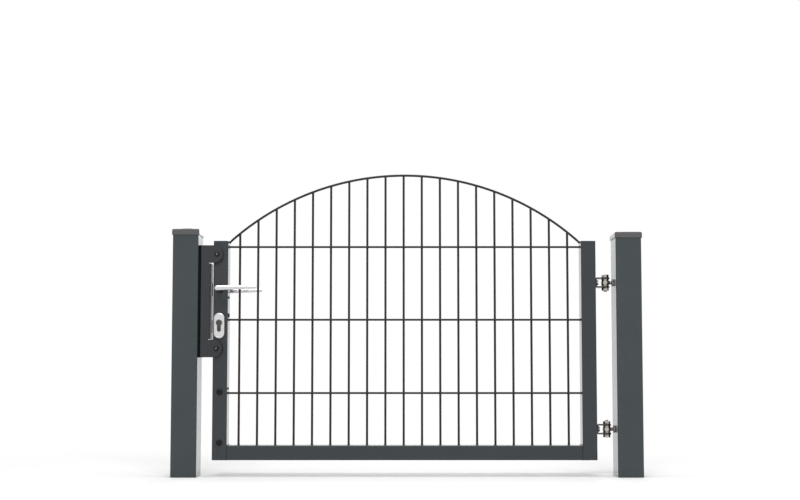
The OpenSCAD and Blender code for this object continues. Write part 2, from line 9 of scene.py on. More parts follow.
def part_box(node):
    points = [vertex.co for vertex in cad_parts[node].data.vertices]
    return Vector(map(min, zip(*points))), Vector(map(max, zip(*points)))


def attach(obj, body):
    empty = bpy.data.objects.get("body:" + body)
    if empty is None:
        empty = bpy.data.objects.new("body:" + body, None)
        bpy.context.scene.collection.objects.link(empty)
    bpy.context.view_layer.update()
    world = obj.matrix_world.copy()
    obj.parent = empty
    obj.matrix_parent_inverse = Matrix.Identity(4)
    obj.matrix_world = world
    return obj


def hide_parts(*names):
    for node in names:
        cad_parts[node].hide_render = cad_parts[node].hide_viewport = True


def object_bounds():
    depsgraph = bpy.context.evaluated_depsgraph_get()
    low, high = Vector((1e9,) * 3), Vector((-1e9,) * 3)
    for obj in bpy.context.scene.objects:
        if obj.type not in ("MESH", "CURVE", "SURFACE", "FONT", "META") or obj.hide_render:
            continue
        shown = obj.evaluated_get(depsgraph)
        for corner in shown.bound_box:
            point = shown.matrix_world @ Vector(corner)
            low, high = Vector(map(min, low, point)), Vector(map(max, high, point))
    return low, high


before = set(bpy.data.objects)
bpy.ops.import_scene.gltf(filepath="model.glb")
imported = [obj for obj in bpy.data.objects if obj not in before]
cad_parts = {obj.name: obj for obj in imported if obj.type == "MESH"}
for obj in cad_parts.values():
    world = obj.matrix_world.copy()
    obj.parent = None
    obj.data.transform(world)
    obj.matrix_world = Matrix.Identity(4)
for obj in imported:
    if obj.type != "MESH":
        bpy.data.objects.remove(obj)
cadLow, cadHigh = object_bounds()
scene = bpy.context.scene
mm = 0.001
print("frame loaded with", len(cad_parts), "nodes")


# helpers for objects and nodes

def addObject(name, data):
    obj = bpy.data.objects.new(name, data)
    scene.collection.objects.link(obj)
    return obj


def meshFrom(name, bm):
    mesh = bpy.data.meshes.new(name)
    bm.to_mesh(mesh)
    bm.free()
    return mesh


# a socket takes another node's output, or a number or colour of its own
def feed(tree, socket, value):
    if isinstance(value, bpy.types.NodeSocket):
        tree.links.new(value, socket)
    elif socket.type == "RGBA":
        socket.default_value = (*value, 1)
    else:
        socket.default_value = value


def feedAll(tree, node, values):
    for name, value in values.items():
        feed(tree, node.inputs[name], value)


def calc(tree, operation, first, second):
    node = tree.nodes.new("ShaderNodeMath")
    node.operation = operation
    feed(tree, node.inputs[0], first)
    feed(tree, node.inputs[1], second)
    return node.outputs[0]


def vectorCalc(tree, operation, first, second=None, output="Vector"):
    node = tree.nodes.new("ShaderNodeVectorMath")
    node.operation = operation
    feed(tree, node.inputs[0], first)
    if second is not None:
        feed(tree, node.inputs["Scale" if operation == "SCALE" else 1], second)
    return node.outputs[output]


def mapTo(tree, value, lowOut, highOut, lowIn=0.3, highIn=0.7, ease="LINEAR"):
    node = tree.nodes.new("ShaderNodeMapRange")
    node.interpolation_type = ease
    feedAll(tree, node, {"Value": value, "From Min": lowIn, "From Max": highIn, "To Min": lowOut,
                         "To Max": highOut})
    return node.outputs["Result"]


def mixColour(tree, share, first, second):
    node = tree.nodes.new("ShaderNodeMix")
    node.data_type = "RGBA"
    feed(tree, node.inputs[0], share)
    for socket, value in zip([s for s in node.inputs if s.type == "RGBA"], (first, second)):
        feed(tree, socket, value)
    return next(s for s in node.outputs if s.type == "RGBA")


def placeIn(tree):
    return tree.nodes.new("ShaderNodeTexCoord").outputs["Object"]


def noiseOf(tree, place, scale, detail, rough=0.5):
    node = tree.nodes.new("ShaderNodeTexNoise")
    feedAll(tree, node, {"Vector": place, "Scale": scale, "Detail": detail, "Roughness": rough})
    return node.outputs["Fac"]


# 1 for the rays that meet plain white: to the camera, mirrored or through glass
def shownRays(tree):
    path = tree.nodes.new("ShaderNodeLightPath")
    seen = calc(tree, "MAXIMUM", path.outputs["Is Camera Ray"], path.outputs["Is Glossy Ray"])
    return calc(tree, "MAXIMUM", seen, path.outputs["Is Transmission Ray"])


def blendShaders(tree, share, first, second, surface):
    blend = tree.nodes.new("ShaderNodeMixShader")
    for socket, value in zip(blend.inputs, (share, first, second)):
        feed(tree, socket, value)
    feed(tree, surface, blend.outputs[0])


def startMaterial(name):
    material = bpy.data.materials.new(name)
    material.use_nodes = True
    tree = material.node_tree
    return material, tree, tree.nodes["Principled BSDF"]


# camera, lamps, world and floor

cameraValues = {"across": -0.6216, "distance": 2.8, "height": 0.289, "lens": 46.0, "lift": 0.08, "tilt": 3.13}
lampValues = {
    "overhead": {"place": (-0.6, -0.2, 3.2), "size": (3.6, 1.2), "power": 38},
    "frontKey": {"place": (-0.6, -2.6, 3.0), "size": (2.4, 0.9), "power": 60},
    "backFill": {"place": (0.2, 3.4, 1.9), "size": (2.2, 1.6), "power": 24},
}
worldValues = {"ambient": 0.5, "shown": 1.0}
floorValues = {"reach": 40.0, "drop": 0.2, "colour": 0.97, "rough": 0.9, "mirror": 0.1, "clearFrom": 0.35,
               "clearTo": 1.1}


def aimAt(obj, target):
    obj.rotation_euler = (Vector(target) - obj.location).to_track_quat("-Z", "Y").to_euler()


def makeCamera(values):
    data = bpy.data.cameras.new("gateCamera")
    camera = addObject("gateCamera", data)
    camera.location = (values["across"], -values["distance"], values["height"])
    camera.rotation_euler = (math.radians(90 + values["tilt"]), 0, 0)
    data.lens = values["lens"]
    data.shift_y = values["lift"]
    scene.camera = camera


def makeLamps(values):
    target = (cadLow + cadHigh) / 2
    for name, lamp in values.items():
        data = bpy.data.lights.new(name, "AREA")
        data.shape = "RECTANGLE"
        data.size, data.size_y = lamp["size"]
        data.energy = lamp["power"]
        obj = addObject(name, data)
        obj.location = lamp["place"]
        aimAt(obj, target)


def makeWorld(values):
    world = bpy.data.worlds.new("paleStudio")
    world.use_nodes = True
    scene.world = world
    tree = world.node_tree
    tree.nodes.clear()
    backgrounds = []
    for strength in (values["ambient"], values["shown"]):
        background = tree.nodes.new("ShaderNodeBackground")
        feedAll(tree, background, {"Color": (1, 1, 1), "Strength": strength})
        backgrounds.append(background.outputs[0])
    surface = tree.nodes.new("ShaderNodeOutputWorld").inputs[0]
    blendShaders(tree, shownRays(tree), *backgrounds, surface)


# a floor that keeps the shadow beside the gate and turns plain white further off
def makeFloor(values):
    bm = bmesh.new()
    bmesh.ops.create_grid(bm, x_segments=2, y_segments=2, size=values["reach"])
    floor = addObject("paleFloor", meshFrom("paleFloor", bm))
    floor.location = ((cadLow.x + cadHigh.x) / 2, 0, cadLow.z - values["drop"] * mm)
    material, tree, shader = startMaterial("paleFloor")
    feedAll(tree, shader, {"Base Color": [values["colour"]] * 3, "Roughness": values["rough"],
                           "Specular IOR Level": values["mirror"]})
    halfGate = ((cadHigh.x - cadLow.x) / 2, 0, 0)
    beside = vectorCalc(tree, "SUBTRACT", vectorCalc(tree, "ABSOLUTE", placeIn(tree)), halfGate)
    reach = vectorCalc(tree, "LENGTH", vectorCalc(tree, "MAXIMUM", beside), output="Value")
    far = mapTo(tree, reach, 0.0, 1.0, values["clearFrom"], values["clearTo"], "SMOOTHSTEP")
    glow = tree.nodes.new("ShaderNodeEmission")
    blendShaders(tree, calc(tree, "MULTIPLY", shownRays(tree), far), shader.outputs[0], glow.outputs[0],
                 tree.nodes["Material Output"].inputs["Surface"])
    floor.data.materials.append(material)


scene.view_settings.view_transform = "Standard"
makeCamera(cameraValues)
makeLamps(lampValues)
makeWorld(worldValues)
makeFloor(floorValues)
print("studio ready")


# shader node groups

number, colour, vector = "NodeSocketFloat", "NodeSocketColor", "NodeSocketVector"
surfaceOutputs = [("Colour", colour), ("Roughness", number), ("Height", number)]


def startGroup(name, inputs, outputs):
    tree = bpy.data.node_groups.new(name, "ShaderNodeTree")
    for socketName, kind, value in inputs:
        socket = tree.interface.new_socket(socketName, in_out="INPUT", socket_type=kind)
        socket.default_value = value
    for socketName, kind in outputs:
        tree.interface.new_socket(socketName, in_out="OUTPUT", socket_type=kind)
    return tree, tree.nodes.new("NodeGroupInput").outputs, tree.nodes.new("NodeGroupOutput")


# an uneven sprayed or moulded skin: soft mottling, a fine grain and a gentle orange peel
def makeSkinGroup():
    values = {"broadScale": 7.0, "lift": 0.6, "speck": (0.94, 1.06), "broadRough": (-0.04, 0.05),
              "grainRough": (-0.03, 0.03)}
    tree, source, sink = startGroup(
        "unevenSkin",
        [("Colour", colour, (0.5, 0.5, 0.5, 1)), ("Mottle", number, 0.1), ("Rough", number, 0.4),
         ("Peel Scale", number, 400.0), ("Grain Scale", number, 2500.0), ("Grain Share", number, 0.3)],
        surfaceOutputs)
    place = placeIn(tree)
    broad = noiseOf(tree, place, values["broadScale"], detail=3.0)
    peel = noiseOf(tree, place, source["Peel Scale"], detail=1.5)
    grain = noiseOf(tree, place, source["Grain Scale"], detail=1.0)
    lift = calc(tree, "ADD", 1.0, calc(tree, "MULTIPLY", source["Mottle"], values["lift"]))
    drop = calc(tree, "SUBTRACT", 1.0, source["Mottle"])
    shade = calc(tree, "MULTIPLY", mapTo(tree, broad, drop, lift), mapTo(tree, grain, *values["speck"]))
    uneven = calc(tree, "ADD", source["Rough"], mapTo(tree, broad, *values["broadRough"]))
    feedAll(tree, sink, {
        "Colour": vectorCalc(tree, "SCALE", source["Colour"], shade),
        "Roughness": calc(tree, "ADD", uneven, mapTo(tree, grain, *values["grainRough"])),
        "Height": calc(tree, "ADD", peel, calc(tree, "MULTIPLY", grain, source["Grain Share"]))})
    return tree


# a mask broken up by noise, so that wear and dust lie unevenly
def brokenMask(tree, mask, scale, least, amount):
    broken = mapTo(tree, noiseOf(tree, placeIn(tree), scale, detail=3.0), least, 1.0)
    return calc(tree, "MULTIPLY", calc(tree, "MULTIPLY", mask, broken), amount)


# where the surface turns an edge: 0 on flats, 1 on a worn edge
def makeEdgeGroup():
    values = {"radius": 1.2, "samples": 4, "turned": 0.86, "flat": 0.99, "least": 0.2}
    tree, source, sink = startGroup("edgeWear", [("Amount", number, 1.0), ("Breakup Scale", number, 120.0)],
                                    [("Mask", number)])
    softened = tree.nodes.new("ShaderNodeBevel")
    softened.samples = values["samples"]
    feed(tree, softened.inputs["Radius"], values["radius"] * mm)
    surface = tree.nodes.new("ShaderNodeNewGeometry")
    agree = vectorCalc(tree, "DOT_PRODUCT", softened.outputs[0], surface.outputs["Normal"], "Value")
    turn = mapTo(tree, agree, 1.0, 0.0, values["turned"], values["flat"])
    feed(tree, sink.inputs["Mask"],
         brokenMask(tree, turn, source["Breakup Scale"], values["least"], source["Amount"]))
    return tree


# painted shade and some dust in corners, found by ambient occlusion: 1 deep in a crevice
def makeCornerShadeGroup():
    values = {"reach": 9.0, "samples": 6, "closed": 0.25, "open": 0.95, "breakupScale": 260.0, "least": 0.55}
    tree, source, sink = startGroup("cornerDustAndPaintedShade", [("Amount", number, 1.0)], [("Mask", number)])
    shade = tree.nodes.new("ShaderNodeAmbientOcclusion")
    shade.samples = values["samples"]
    feed(tree, shade.inputs["Distance"], values["reach"] * mm)
    closed = mapTo(tree, shade.outputs["AO"], 1.0, 0.0, values["closed"], values["open"])
    feed(tree, sink.inputs["Mask"],
         brokenMask(tree, closed, values["breakupScale"], values["least"], source["Amount"]))
    return tree


# metal with fine draw lines along one axis and a cloudy plated bloom
def makeMetalGroup():
    values = {"cloudScale": 160.0, "lineRough": (-0.06, 0.08), "cloudRough": (-0.03, 0.05)}
    tree, source, sink = startGroup(
        "drawnMetal",
        [("Colour", colour, (0.8, 0.8, 0.8, 1)), ("Bloom", colour, (0.7, 0.7, 0.6, 1)),
         ("Bloom Share", number, 0.3), ("Rough", number, 0.3), ("Stretch", vector, (1.0, 1.0, 1.0)),
         ("Line Scale", number, 900.0)],
        surfaceOutputs)
    place = placeIn(tree)
    drawn = vectorCalc(tree, "MULTIPLY", place, source["Stretch"])
    lines = noiseOf(tree, drawn, source["Line Scale"], detail=2.0, rough=0.6)
    cloud = noiseOf(tree, place, values["cloudScale"], detail=3.0)
    share = calc(tree, "MULTIPLY", mapTo(tree, cloud, 0.0, 1.0), source["Bloom Share"])
    uneven = calc(tree, "ADD", mapTo(tree, lines, *values["lineRough"]),
                  mapTo(tree, cloud, *values["cloudRough"]))
    feedAll(tree, sink, {"Colour": mixColour(tree, share, source["Colour"], source["Bloom"]),
                         "Roughness": calc(tree, "ADD", source["Rough"], uneven), "Height": lines})
    return tree


skinGroup = makeSkinGroup()
edgeGroup = makeEdgeGroup()
cornerShadeGroup = makeCornerShadeGroup()
metalGroup = makeMetalGroup()


def useGroup(tree, group, values):
    node = tree.nodes.new("ShaderNodeGroup")
    node.node_tree = group
    feedAll(tree, node, values)
    return node.outputs


# a group's surface with worn edges, and corners darkened towards a darker colour: painted shade with some
# dust
def finishSurface(tree, shader, surface, values):
    edge = useGroup(tree, edgeGroup, {"Amount": values["wear"]})
    corner = useGroup(tree, cornerShadeGroup, {"Amount": values["dustAndShade"]})
    worn = mixColour(tree, edge["Mask"], surface["Colour"], values["worn"])
    # corners darkened by the occlusion mask: painted shade, partly dust
    dustyAndShaded = mixColour(tree, corner["Mask"], worn, values["dustAndShadeColour"])
    bump = tree.nodes.new("ShaderNodeBump")
    feedAll(tree, bump, {"Strength": values["bump"], "Distance": values["bumpDepth"] * mm,
                         "Height": surface["Height"]})
    feedAll(tree, shader, {"Base Color": dustyAndShaded, "Roughness": surface["Roughness"], "Normal": bump.outputs[0]})


# the dust and shade values set how far corners darken towards their colour: painted shade with some dust
coatDefaults = {"mottle": 0.06, "dustAndShade": 0.5, "glance": 0.0, "glanceFrom": 0.5, "glanceTo": 0.8, "sheen": 0.0,
                "sheenRough": 0.2, "bumpDepth": 0.08}
metalDefaults = {"bloomShare": 0.5, "stretch": (1.0, 1.0, 1.0), "wear": 0.5, "bump": 0.3, "bumpDepth": 0.02}


def coatMaterial(own):
    values = {**coatDefaults, **own}
    material, tree, shader = startMaterial(values["name"])
    skin = useGroup(tree, skinGroup, {"Colour": values["colour"], "Mottle": values["mottle"],
                                      "Rough": values["rough"], "Peel Scale": values["peel"],
                                      "Grain Scale": values["grain"]})
    finishSurface(tree, shader, skin, values)
    feedAll(tree, shader, {"IOR": values["ior"], "Sheen Weight": values["sheen"],
                           "Sheen Roughness": values["sheenRough"]})
    if values["glance"] > 0:       # the coat shows where the surface is seen at a low angle
        facing = tree.nodes.new("ShaderNodeLayerWeight")
        feed(tree, facing.inputs["Blend"], 0.5)
        coat = mapTo(tree, facing.outputs["Facing"], 0.0, values["glance"], values["glanceFrom"],
                     values["glanceTo"])
        feedAll(tree, shader, {"Coat Weight": coat, "Coat Roughness": values["coatRough"],
                               "Coat IOR": values["coatIor"]})
    return material


def metalMaterial(own):
    values = {**metalDefaults, **own}
    material, tree, shader = startMaterial(values["name"])
    metal = useGroup(tree, metalGroup, {"Colour": values["colour"], "Bloom": values["bloom"],
                                        "Bloom Share": values["bloomShare"], "Rough": values["rough"],
                                        "Stretch": values["stretch"], "Line Scale": values["lines"]})
    finishSurface(tree, shader, metal, values)
    feed(tree, shader.inputs["Metallic"], 1.0)
    return material


powderValues = {
    "name": "powderCoat", "colour": (0.036, 0.047, 0.052), "rough": 0.32, "peel": 520.0, "grain": 2600.0,
    "wear": 0.3, "worn": (0.09, 0.10, 0.105), "dustAndShadeColour": (0.018, 0.019, 0.021), "ior": 1.45, "glance": 1.0,
    "coatRough": 0.06, "coatIor": 1.8, "sheen": 0.3, "bump": 0.2}
powderCoat = coatMaterial(powderValues)
leafCoat = coatMaterial({**powderValues, "name": "leafCoat", "colour": (0.026, 0.032, 0.036)})
plateCoat = coatMaterial({**powderValues, "name": "plateCoat", "colour": (0.020, 0.023, 0.027),
                          "glance": 0.3, "sheen": 0.0})
rodCoat = coatMaterial({
    "name": "rodCoat", "colour": (0.020, 0.017, 0.017), "mottle": 0.05, "rough": 0.6, "peel": 700.0,
    "grain": 3000.0, "wear": 0.1, "worn": (0.05, 0.05, 0.05), "dustAndShadeColour": (0.010, 0.009, 0.009),
    "ior": 1.35, "bump": 0.05})
capPlastic = coatMaterial({
    "name": "capPlastic", "colour": (0.080, 0.078, 0.082), "rough": 0.42, "peel": 1400.0, "grain": 4200.0,
    "wear": 0.25, "worn": (0.17, 0.17, 0.18), "dustAndShade": 0.6, "dustAndShadeColour": (0.03, 0.03, 0.03), "ior": 1.48,
    "glance": 0.65, "coatRough": 0.16, "coatIor": 1.7, "sheen": 0.25, "bump": 0.4})
plugPlastic = coatMaterial({
    "name": "plugPlastic", "colour": (0.020, 0.029, 0.038), "rough": 0.45, "peel": 1200.0, "grain": 4000.0,
    "wear": 0.2, "worn": (0.07, 0.08, 0.09), "dustAndShadeColour": (0.02, 0.02, 0.02), "ior": 1.45, "glance": 0.6,
    "coatRough": 0.2, "coatIor": 1.5, "bump": 0.4})
# near black with a weak reflection: rubber on the buffers, and on the strike packer a dark strip standing in
# for shade
blackRubberAndShadeFill = coatMaterial({
    "name": "blackRubberAndShadeFill", "colour": (0.003, 0.003, 0.0035), "mottle": 0.1, "rough": 0.75, "peel": 1500.0,
    "grain": 3800.0, "wear": 0.2, "worn": (0.012, 0.012, 0.012), "dustAndShade": 0.3,
    "dustAndShadeColour": (0.006, 0.006, 0.006), "ior": 1.2, "bump": 0.6})
blackScrew = coatMaterial({
    "name": "blackScrew", "colour": (0.008, 0.008, 0.009), "mottle": 0.1, "rough": 0.3, "peel": 2200.0,
    "grain": 5000.0, "wear": 0.5, "worn": (0.07, 0.065, 0.06), "dustAndShade": 0.6,
    "dustAndShadeColour": (0.003, 0.003, 0.003), "ior": 1.3, "bump": 0.3})
# the zinc's corners darken strongly towards near black: painted shade in the hinge's gaps
zincValues = {
    "name": "zincPlate", "colour": (0.52, 0.49, 0.46), "bloom": (0.34, 0.30, 0.24), "rough": 0.2,
    "lines": 1300.0, "wear": 0.7, "worn": (0.80, 0.79, 0.77), "dustAndShade": 1.8,
    "dustAndShadeColour": (0.008, 0.007, 0.006)}
zincPlate = metalMaterial(zincValues)
# the brackets get a far darker copy of the zinc plate: painted shade
shadedBracketZinc = metalMaterial({**zincValues, "name": "shadedBracketZinc", "colour": (0.07, 0.066, 0.062),
                             "bloom": (0.03, 0.026, 0.022), "worn": (0.30, 0.29, 0.28)})
satinSilver = metalMaterial({
    "name": "satinSilver", "colour": (0.69, 0.69, 0.70), "bloom": (0.60, 0.60, 0.61), "rough": 0.28,
    "stretch": (0.06, 1.0, 1.0), "lines": 2600.0, "worn": (0.95, 0.95, 0.95), "dustAndShade": 0.5,
    "dustAndShadeColour": (0.25, 0.25, 0.25), "bump": 0.25})
# its corners darken towards near black: painted shade
cylinderNickel = metalMaterial({
    "name": "cylinderNickel", "colour": (0.085, 0.080, 0.076), "bloom": (0.045, 0.042, 0.036), "rough": 0.25,
    "lines": 1800.0, "wear": 0.8, "worn": (0.50, 0.47, 0.42), "dustAndShade": 0.9,
    "dustAndShadeColour": (0.008, 0.008, 0.007)})
lockSteel = metalMaterial({
    "name": "lockSteel", "colour": (0.62, 0.62, 0.62), "bloom": (0.52, 0.52, 0.52), "bloomShare": 0.4,
    "rough": 0.32, "stretch": (1.0, 1.0, 0.03), "lines": 2400.0, "worn": (0.8, 0.8, 0.8), "dustAndShade": 0.6,
    "dustAndShadeColour": (0.10, 0.10, 0.10), "bump": 0.4})
print("materials ready")


# mesh helpers: shapes are made in millimetres about their own middle, and makePiece sets them in place

# the middle of a node's box, with the coordinates that are given
def middleOf(node, x=None, y=None, z=None):
    low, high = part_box(node)
    return Vector([(a + b) / 2 if given is None else given for a, b, given in zip(low, high, (x, y, z))])


def sizeOf(node):
    low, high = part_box(node)
    return (high - low) / mm


def keepFlat(piece):
    normals = piece.modifiers.new("flatFaces", "WEIGHTED_NORMAL")
    normals.keep_sharp = True


def makePiece(name, bm, centre, body, material, replaced=(), turn=None, crease=38, flatten=True):
    bmesh.ops.recalc_face_normals(bm, faces=bm.faces)
    matrix = Matrix.Translation(centre) @ (turn or Matrix.Identity(4)) @ Matrix.Scale(mm, 4)
    bm.transform(matrix)
    if matrix.determinant() < 0:
        bmesh.ops.reverse_faces(bm, faces=bm.faces)
    mesh = meshFrom(name, bm)
    mesh.shade_smooth()
    mesh.set_sharp_from_angle(angle=math.radians(crease))
    mesh.materials.append(material)
    piece = addObject(name, mesh)
    if flatten:
        keepFlat(piece)
    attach(piece, body)
    if replaced:
        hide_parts(*replaced)
    return piece


def joinRings(bm, lower, upper):
    for i in range(len(lower)):
        j = (i + 1) % len(lower)
        bm.faces.new((lower[i], lower[j], upper[j], upper[i]))


def skinRings(bm, rings, closed=False, capTop=True):
    made = [[bm.verts.new(point) for point in ring] for ring in rings]
    for lower, upper in zip(made, made[1:]):
        joinRings(bm, lower, upper)
    if closed:
        joinRings(bm, made[-1], made[0])
    else:
        bm.faces.new(made[0])
        if capTop:
            bm.faces.new(made[-1])
    return made


# the points that a mesh has gained since it had this many, each moved by the given rule
def moveAdded(bm, start, rule):
    bm.verts.ensure_lookup_table()
    for v in bm.verts[start:]:
        v.co = rule(v.co)


def fullTurn(sides):
    return [2 * math.pi * i / sides for i in range(sides)]


def quarterTurn(steps):
    return [math.pi / 2 * i / steps for i in range(steps + 1)]


def circleRing(radius, height, sides=48):
    return [(radius * math.cos(a), radius * math.sin(a), height) for a in fullTurn(sides)]


def squareRing(half, corner, height, perCorner=6):
    points = []
    for quarter in range(4):
        for i in range(perCorner + 1):
            a = math.pi / 2 * (quarter + i / perCorner)
            cx = (half - corner) * (1 if quarter in (0, 3) else -1)
            cy = (half - corner) * (1 if quarter in (0, 1) else -1)
            points.append((cx + corner * math.cos(a), cy + corner * math.sin(a), height))
    return points


def ovalRing(width, length, height, perEnd=20):
    r, straight = width / 2, (length - width) / 2
    points = []
    for end in (1, -1):
        for i in range(perEnd + 1):
            a = math.pi * (i / perEnd) + (0 if end > 0 else math.pi)
            points.append((r * math.cos(a), end * straight + r * math.sin(a), height))
    return points


def hexReach(acrossFlats, angle):
    part = (angle + math.pi / 6) % (math.pi / 3) - math.pi / 6
    return acrossFlats / 2 / math.cos(part)


# a hexagon's outline, by its width across flats
def hexRing(acrossFlats, height, sides, grow=1.0):
    reach = [hexReach(acrossFlats, a) * grow for a in fullTurn(sides)]
    return [(r * math.cos(a), r * math.sin(a), height) for r, a in zip(reach, fullTurn(sides))]


# the rounded upper edge of something turned, square or round, as reach and height pairs
def upperEdge(reach, top, edge, steps):
    return [(reach - edge + edge * math.cos(a), top - edge + edge * math.sin(a)) for a in quarterTurn(steps)]


# a drum's outline with rounded ends, as radius and height pairs
def drumProfile(radius, low, high, edge, steps=3):
    lower = [(radius - edge + edge * math.sin(a), low + edge - edge * math.cos(a))
             for a in quarterTurn(steps)]
    return lower + upperEdge(radius, high, edge, steps)


def addLathe(bm, profile, sides=48, closed=False):
    skinRings(bm, [circleRing(r, h, sides) for r, h in profile], closed)


# a hexagon head or nut with its corners chamfered at the free ends
def addHex(bm, acrossFlats, low, high, bore=0.0, bothEnds=False, sides=72):
    values = {"flatShare": 0.95, "slope": 30.0, "lead": 0.7}
    flatR = acrossFlats / 2 * values["flatShare"]
    slope = math.tan(math.radians(values["slope"]))

    def chamferRing(height, direction):
        reach = [hexReach(acrossFlats, a) for a in fullTurn(sides)]
        return [(r * math.cos(a), r * math.sin(a), height + direction * (r - flatR) * slope)
                for r, a in zip(reach, fullTurn(sides))]

    rings = [chamferRing(high, -1), circleRing(flatR, high, sides)]
    if bothEnds:
        rings = [circleRing(flatR, low, sides), chamferRing(low, 1)] + rings
    else:
        rings = [hexRing(acrossFlats, low, sides)] + rings
    if bore:
        lead = values["lead"]
        rings += [circleRing(bore + lead, high, sides), circleRing(bore, high - lead, sides),
                  circleRing(bore, low + lead, sides), circleRing(bore + lead, low, sides)]
    skinRings(bm, rings, closed=bool(bore))


# a screw thread with a chamfered end at the low side
def addThread(bm, radius, pitch, low, high, sides=36):
    depth = 0.6 * pitch
    levels = int((high - low) / pitch * 8)       # eight rings of points to a turn
    rings = []
    for i in range(levels + 1):
        h = low + (high - low) * i / levels
        lead = min(1.0, (h - low) / pitch)
        ring = []
        for k in range(sides):
            turnShare = k / sides
            wave = abs(((h / pitch - turnShare) % 1.0) * 2 - 1)
            r = radius - depth * (1 - lead) - depth * lead * wave
            a = 2 * math.pi * turnShare
            ring.append((r * math.cos(a), r * math.sin(a), h))
        rings.append(ring)
    skinRings(bm, rings)


# flat sheet with holes, its edges softened; u and v lie in the sheet and the third axis is its thickness
def sheetSolid(outline, holes, thick, edge, cuts=()):
    bm = bmesh.new()
    edges = []
    for loop in [outline] + list(holes):
        verts = [bm.verts.new((u, v, 0)) for u, v in loop]
        edges += [bm.edges.new((a, b)) for a, b in zip(verts, verts[1:] + verts[:1])]
    bmesh.ops.triangle_fill(bm, use_beauty=True, edges=edges)
    for u in cuts:
        bmesh.ops.bisect_plane(bm, geom=bm.verts[:] + bm.edges[:] + bm.faces[:], dist=1e-4,
                               plane_co=(u, 0, 0), plane_no=(1, 0, 0))
    faces = bm.faces[:]
    rim = [e for e in bm.edges if e.is_boundary]
    above = {v: bm.verts.new(v.co + Vector((0, 0, thick))) for v in bm.verts[:]}
    for face in faces:
        bm.faces.new([above[v] for v in face.verts])
    for e in rim:
        a, b = e.verts
        bm.faces.new((a, b, above[b], above[a]))
    bmesh.ops.recalc_face_normals(bm, faces=bm.faces)
    sharp = [e for e in bm.edges if e.calc_face_angle(0) > math.radians(70)]
    bmesh.ops.bevel(bm, geom=sharp, offset=edge, segments=2, profile=0.5, affect="EDGES",
                    clamp_overlap=True)
    return bm


def bendArc(innerR, thick):
    return (innerR + thick / 2) * math.pi / 2


# where a strip is cut across so that it can bend, from the places where its bends start
def bendCuts(starts, arc, steps=6):
    return [start + arc * k / steps for start in starts for k in range(steps + 1)]


# where a point of a bent strip comes to lie: it starts along +x with its outer face at y = 0 and
# turns a quarter towards +y at each of the given places
def bendPoint(u, w, starts, innerR, thick):
    outerR = innerR + thick
    arc = bendArc(innerR, thick)
    place, heading, last = Vector((0, 0)), 0.0, 0.0
    for start in starts:
        if u <= start:
            break
        along = Vector((math.cos(heading), math.sin(heading)))
        inward = Vector((-along.y, along.x))
        place = place + (start - last) * along
        centre = place + outerR * inward
        turn = min((u - start) / arc, 1.0) * math.pi / 2
        out = Matrix.Rotation(turn, 2) @ -inward
        if u < start + arc:
            return centre + (outerR - w) * out
        place = centre + outerR * out
        heading += math.pi / 2
        last = start + arc
    along = Vector((math.cos(heading), math.sin(heading)))
    return place + (u - last) * along + w * Vector((-along.y, along.x))


def arcPoints(cx, cy, radius, fromDeg, toDeg, steps):
    turns = [math.radians(fromDeg + (toDeg - fromDeg) * i / steps) for i in range(steps + 1)]
    return [(cx + radius * math.cos(a), cy + radius * math.sin(a)) for a in turns]


def roundedBox(x0, y0, x1, y1, r, steps=4):
    return (arcPoints(x1 - r, y0 + r, r, -90, 0, steps) + arcPoints(x1 - r, y1 - r, r, 0, 90, steps)
            + arcPoints(x0 + r, y1 - r, r, 90, 180, steps) + arcPoints(x0 + r, y0 + r, r, 180, 270, steps))


# the same shape as one mesh, with its modifiers worked in
def settle(obj):
    graph = bpy.context.evaluated_depsgraph_get()
    mesh = bpy.data.meshes.new_from_object(obj.evaluated_get(graph))
    obj.modifiers.clear()
    obj.data = mesh


upAlongX = Matrix.Rotation(math.radians(90), 4, "Y")      # turns +z to +x
upToFront = Matrix.Rotation(math.radians(90), 4, "X")     # turns +z to -y, the front
upToBack = Matrix.Rotation(math.radians(-90), 4, "X")
upsideDown = Matrix.Rotation(math.radians(180), 4, "X")


# square tubes of the posts and the frame

tubeValues = {"chamfer": 0.5, "perCorner": 8, "leastInnerR": 0.8}


def squareTube(length, width, wall, corner):
    bm = bmesh.new()
    half, c, n = width / 2, tubeValues["chamfer"], tubeValues["perCorner"]
    inner, innerR = half - wall, max(corner - wall, tubeValues["leastInnerR"])
    rings = [squareRing(half - c, corner - c, 0, n), squareRing(half, corner, c, n),
             squareRing(half, corner, length - c, n), squareRing(half - c, corner - c, length, n),
             squareRing(inner, innerR, length, n), squareRing(inner, innerR, 0, n)]
    skinRings(bm, rings, closed=True)
    return bm


# an upright tube in place of a node, standing on the node's foot
def makeUpright(node, body, material, values):
    low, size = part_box(node)[0], sizeOf(node)
    bm = squareTube(size.z, size.x, values["wall"], values["corner"])
    return makePiece(node + "_tube", bm, middleOf(node, z=low.z), body, material, [node])


def makePosts():
    values = {"wall": 2.5, "corner": 4.0}
    for node in ("latch_post", "hinge_post"):
        makeUpright(node, "posts", powderCoat, values)


def makeFrameTubes():
    values = {"wall": 2.0, "corner": 3.0, "slotPlay": 0.2, "slotDepth": 4.0}
    lockStile = makeUpright("lock_stile", "leaf", leafCoat, values)
    cutFaceplateSlot(lockStile, values["slotPlay"] * mm, values["slotDepth"] * mm)
    makeUpright("hinge_stile", "leaf", leafCoat, values)
    low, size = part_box("bottom_rail")[0], sizeOf("bottom_rail")
    bm = squareTube(size.x, size.z, values["wall"], values["corner"])
    end = middleOf("bottom_rail", x=low.x)
    makePiece("bottom_rail_tube", bm, end, "leaf", leafCoat, ["bottom_rail"], upAlongX)


